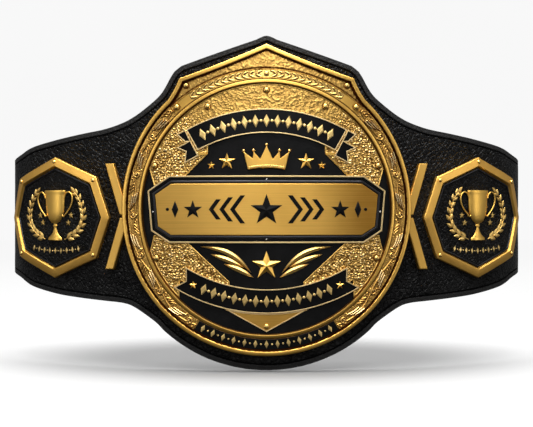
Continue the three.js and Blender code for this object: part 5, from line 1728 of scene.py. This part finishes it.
def ornaments():
    ribbon_level = RELIEF_BACK + RIBBON_THICKNESS - 0.24
    ornament_row("ribbon_top_ornament", UPPER_RIBBON_MIDDLE, UPPER_RIBBON_RADIUS - RIBBON_HEIGHT / 2, 1,
                 UPPER_RIBBON_HALF_ANGLE * 0.84, 12, ribbon_level, 5.8)
    ornament_row("ribbon_bottom_ornament", LOWER_RIBBON_MIDDLE, LOWER_RIBBON_RADIUS - RIBBON_HEIGHT / 2, -1,
                 LOWER_RIBBON_HALF_ANGLE * 0.70, 12, ribbon_level, 5.4)
    ornament_row("lower_panel_ornament", RING_LIFT, (BAND_RADIUS + INNER_RIM_RADIUS) / 2, -1,
                 LOWER_PANEL_HALF_ANGLE * 0.9, 12, BAND_LEVEL + GAP + LOWER_PANEL_THICKNESS + 0.01, 3.6)
    nameplate_emblem()
    radius, half_width = 150.0, 27.0
    half_angle = math.asin(half_width / radius)
    ornament_row("panel_ornament_{}", radius - SIDE_DROP - 31.5, radius, -1, half_angle, 8,
                 SIDE_PANEL_FRONT + 0.01, 2.9, 0.6, SIDE_AT)


leather_strap()
press_studs()
main_plate()
filigree()
title_garland()
lower_band_panel()
hammered_grounds()
nameplate()
ribbons()
shield_tip()
crown()
stars()
feathers()
rivets()
chevron_bars()
side_plates()
ornaments()


# Floor, lights and camera; places and sizes in metres

FLOOR_LEVEL = CAD_BOX[0][2] - 0.0008
FLOOR_RADIUS = 5.0
WALL_ROWS = [(4.4, -0.02), (4.7, 0.15), (4.9, 0.6), (5.0, 1.6), (4.6, 3.4), (3.0, 4.8), (0.3, 5.3)]
BELT_FRONT = -0.1279
EYE_DISTANCE = 0.882
EYE_LIFT = 0.0027
LENS = 66.2

# Name, place, aim, width, height and power
LAMPS = [
    ("top_front", (0, -0.75, 0.95), (0, -0.13, 0.08), 1.3, 0.45, 9),
    ("behind_camera", (0, -2.4, 0.75), (0, -0.13, 0), 1.5, 0.7, 11),
    ("left_strip", (-1.4, -1.0, 0.45), (-0.1, -0.1, 0), 0.4, 1.3, 3.5),
    ("right_strip", (1.5, -0.9, 0.35), (0.1, -0.1, 0), 0.35, 1.3, 3),
    ("overhead", (0, -0.06, 0.9), (0, -0.1, -0.14), 0.8, 0.42, 19),
    ("crown_lamp", (0, -0.42, 0.62), (0, -0.13, 0.15), 0.5, 0.16, 1.6),
    ("back_fill", (0, 1.6, 0.9), (0, 0.1, 0), 1.6, 0.6, 6),
]
SKY_STOPS = [(0.0, 0.05), (0.34, 0.04), (0.43, 0.22), (0.5, 0.15), (0.60, 0.24), (0.74, 0.12), (1.0, 0.5)]


def floor_finish():
    """White paper, lit by the lamps near the belt and glowing further out like a lit backdrop."""
    paper = Finish("pale_floor", Metallic=0.0, Roughness=0.8, Emission_Strength=1.0)
    from_front = paper.vector("ADD", paper.place, (0, 0.045, 0))
    flat = paper.vector("MULTIPLY", from_front, (0.62, 1.0, 0))
    share = paper.vector("LENGTH", flat, output=1).stepped(0.08, 0.20)
    paper.feed(
        Base_Color=paper.mixed(share, grey(0.22), grey(0.05)),
        Emission_Color=paper.mixed(share, grey(0.0), grey(0.88)),
    )
    return paper.material


def wall_finish():
    wall = Finish("pale_wall", Metallic=0.0, Roughness=1.0, Emission_Strength=1.0, Base_Color=(0, 0, 0, 1))
    wall.feed(Emission_Color=wall.mixed(wall.noise(0.4, 2), grey(0.92), grey(0.95)))
    return wall.material


def stage_piece(name, shape, material, lit):
    places = np.array(shape.points) + [0, 0, FLOOR_LEVEL]
    piece = new_piece(name, places, shape.faces, [material], shape.slots, 180)
    piece.visible_glossy = False
    piece.visible_diffuse = lit
    piece.visible_shadow = False


def backdrop():
    """A pale round floor inside a pale wall that only the camera sees."""
    floor = Shape()
    floor.add(at_level(circle(0, 0, FLOOR_RADIUS, 64), 0), [range(64)])
    stage_piece("pale_floor", floor, floor_finish(), True)
    wall = Shape()
    wall.lay([at_level(circle(0, 0, radius, 96), height) for radius, height in WALL_ROWS], flip=True)
    stage_piece("pale_wall", wall, wall_finish(), False)


def lights():
    for name, place, aim, width, height, power in LAMPS:
        data = bpy.data.lights.new(name, "AREA")
        data.shape = "RECTANGLE"
        data.size, data.size_y = width, height
        data.energy = power
        lamp = bpy.data.objects.new(name, data)
        lamp.location = place
        lamp.rotation_mode = "QUATERNION"
        lamp.rotation_quaternion = (Vector(aim) - Vector(place)).to_track_quat("-Z", "Y")
        bpy.context.scene.collection.objects.link(lamp)


def sky():
    world = bpy.context.scene.world or bpy.data.worlds.new("studio")
    bpy.context.scene.world = world
    air = Tree(world, "Background")
    direction = air.node("ShaderNodeTexCoord", {}, {}, "Generated")
    height = air.node("ShaderNodeSeparateXYZ", {}, {0: direction}, "Z")
    share = air.node("ShaderNodeMapRange", {}, {"Value": height, "From Min": -1.0})
    air.feed(Color=air.node("ShaderNodeValToRGB", {"stops": SKY_STOPS}, {"Fac": share}), Strength=1.2)


def camera():
    data = bpy.data.cameras.new("photo_view")
    data.sensor_width = 36
    data.lens = LENS
    eye = bpy.data.objects.new("photo_view", data)
    eye.location = (0, BELT_FRONT - EYE_DISTANCE, EYE_LIFT)
    eye.rotation_euler = (math.pi / 2, 0, 0)
    bpy.context.scene.collection.objects.link(eye)
    bpy.context.scene.camera = eye


backdrop()
lights()
sky()
camera()

bpy.context.scene.view_settings.view_transform = "Standard"
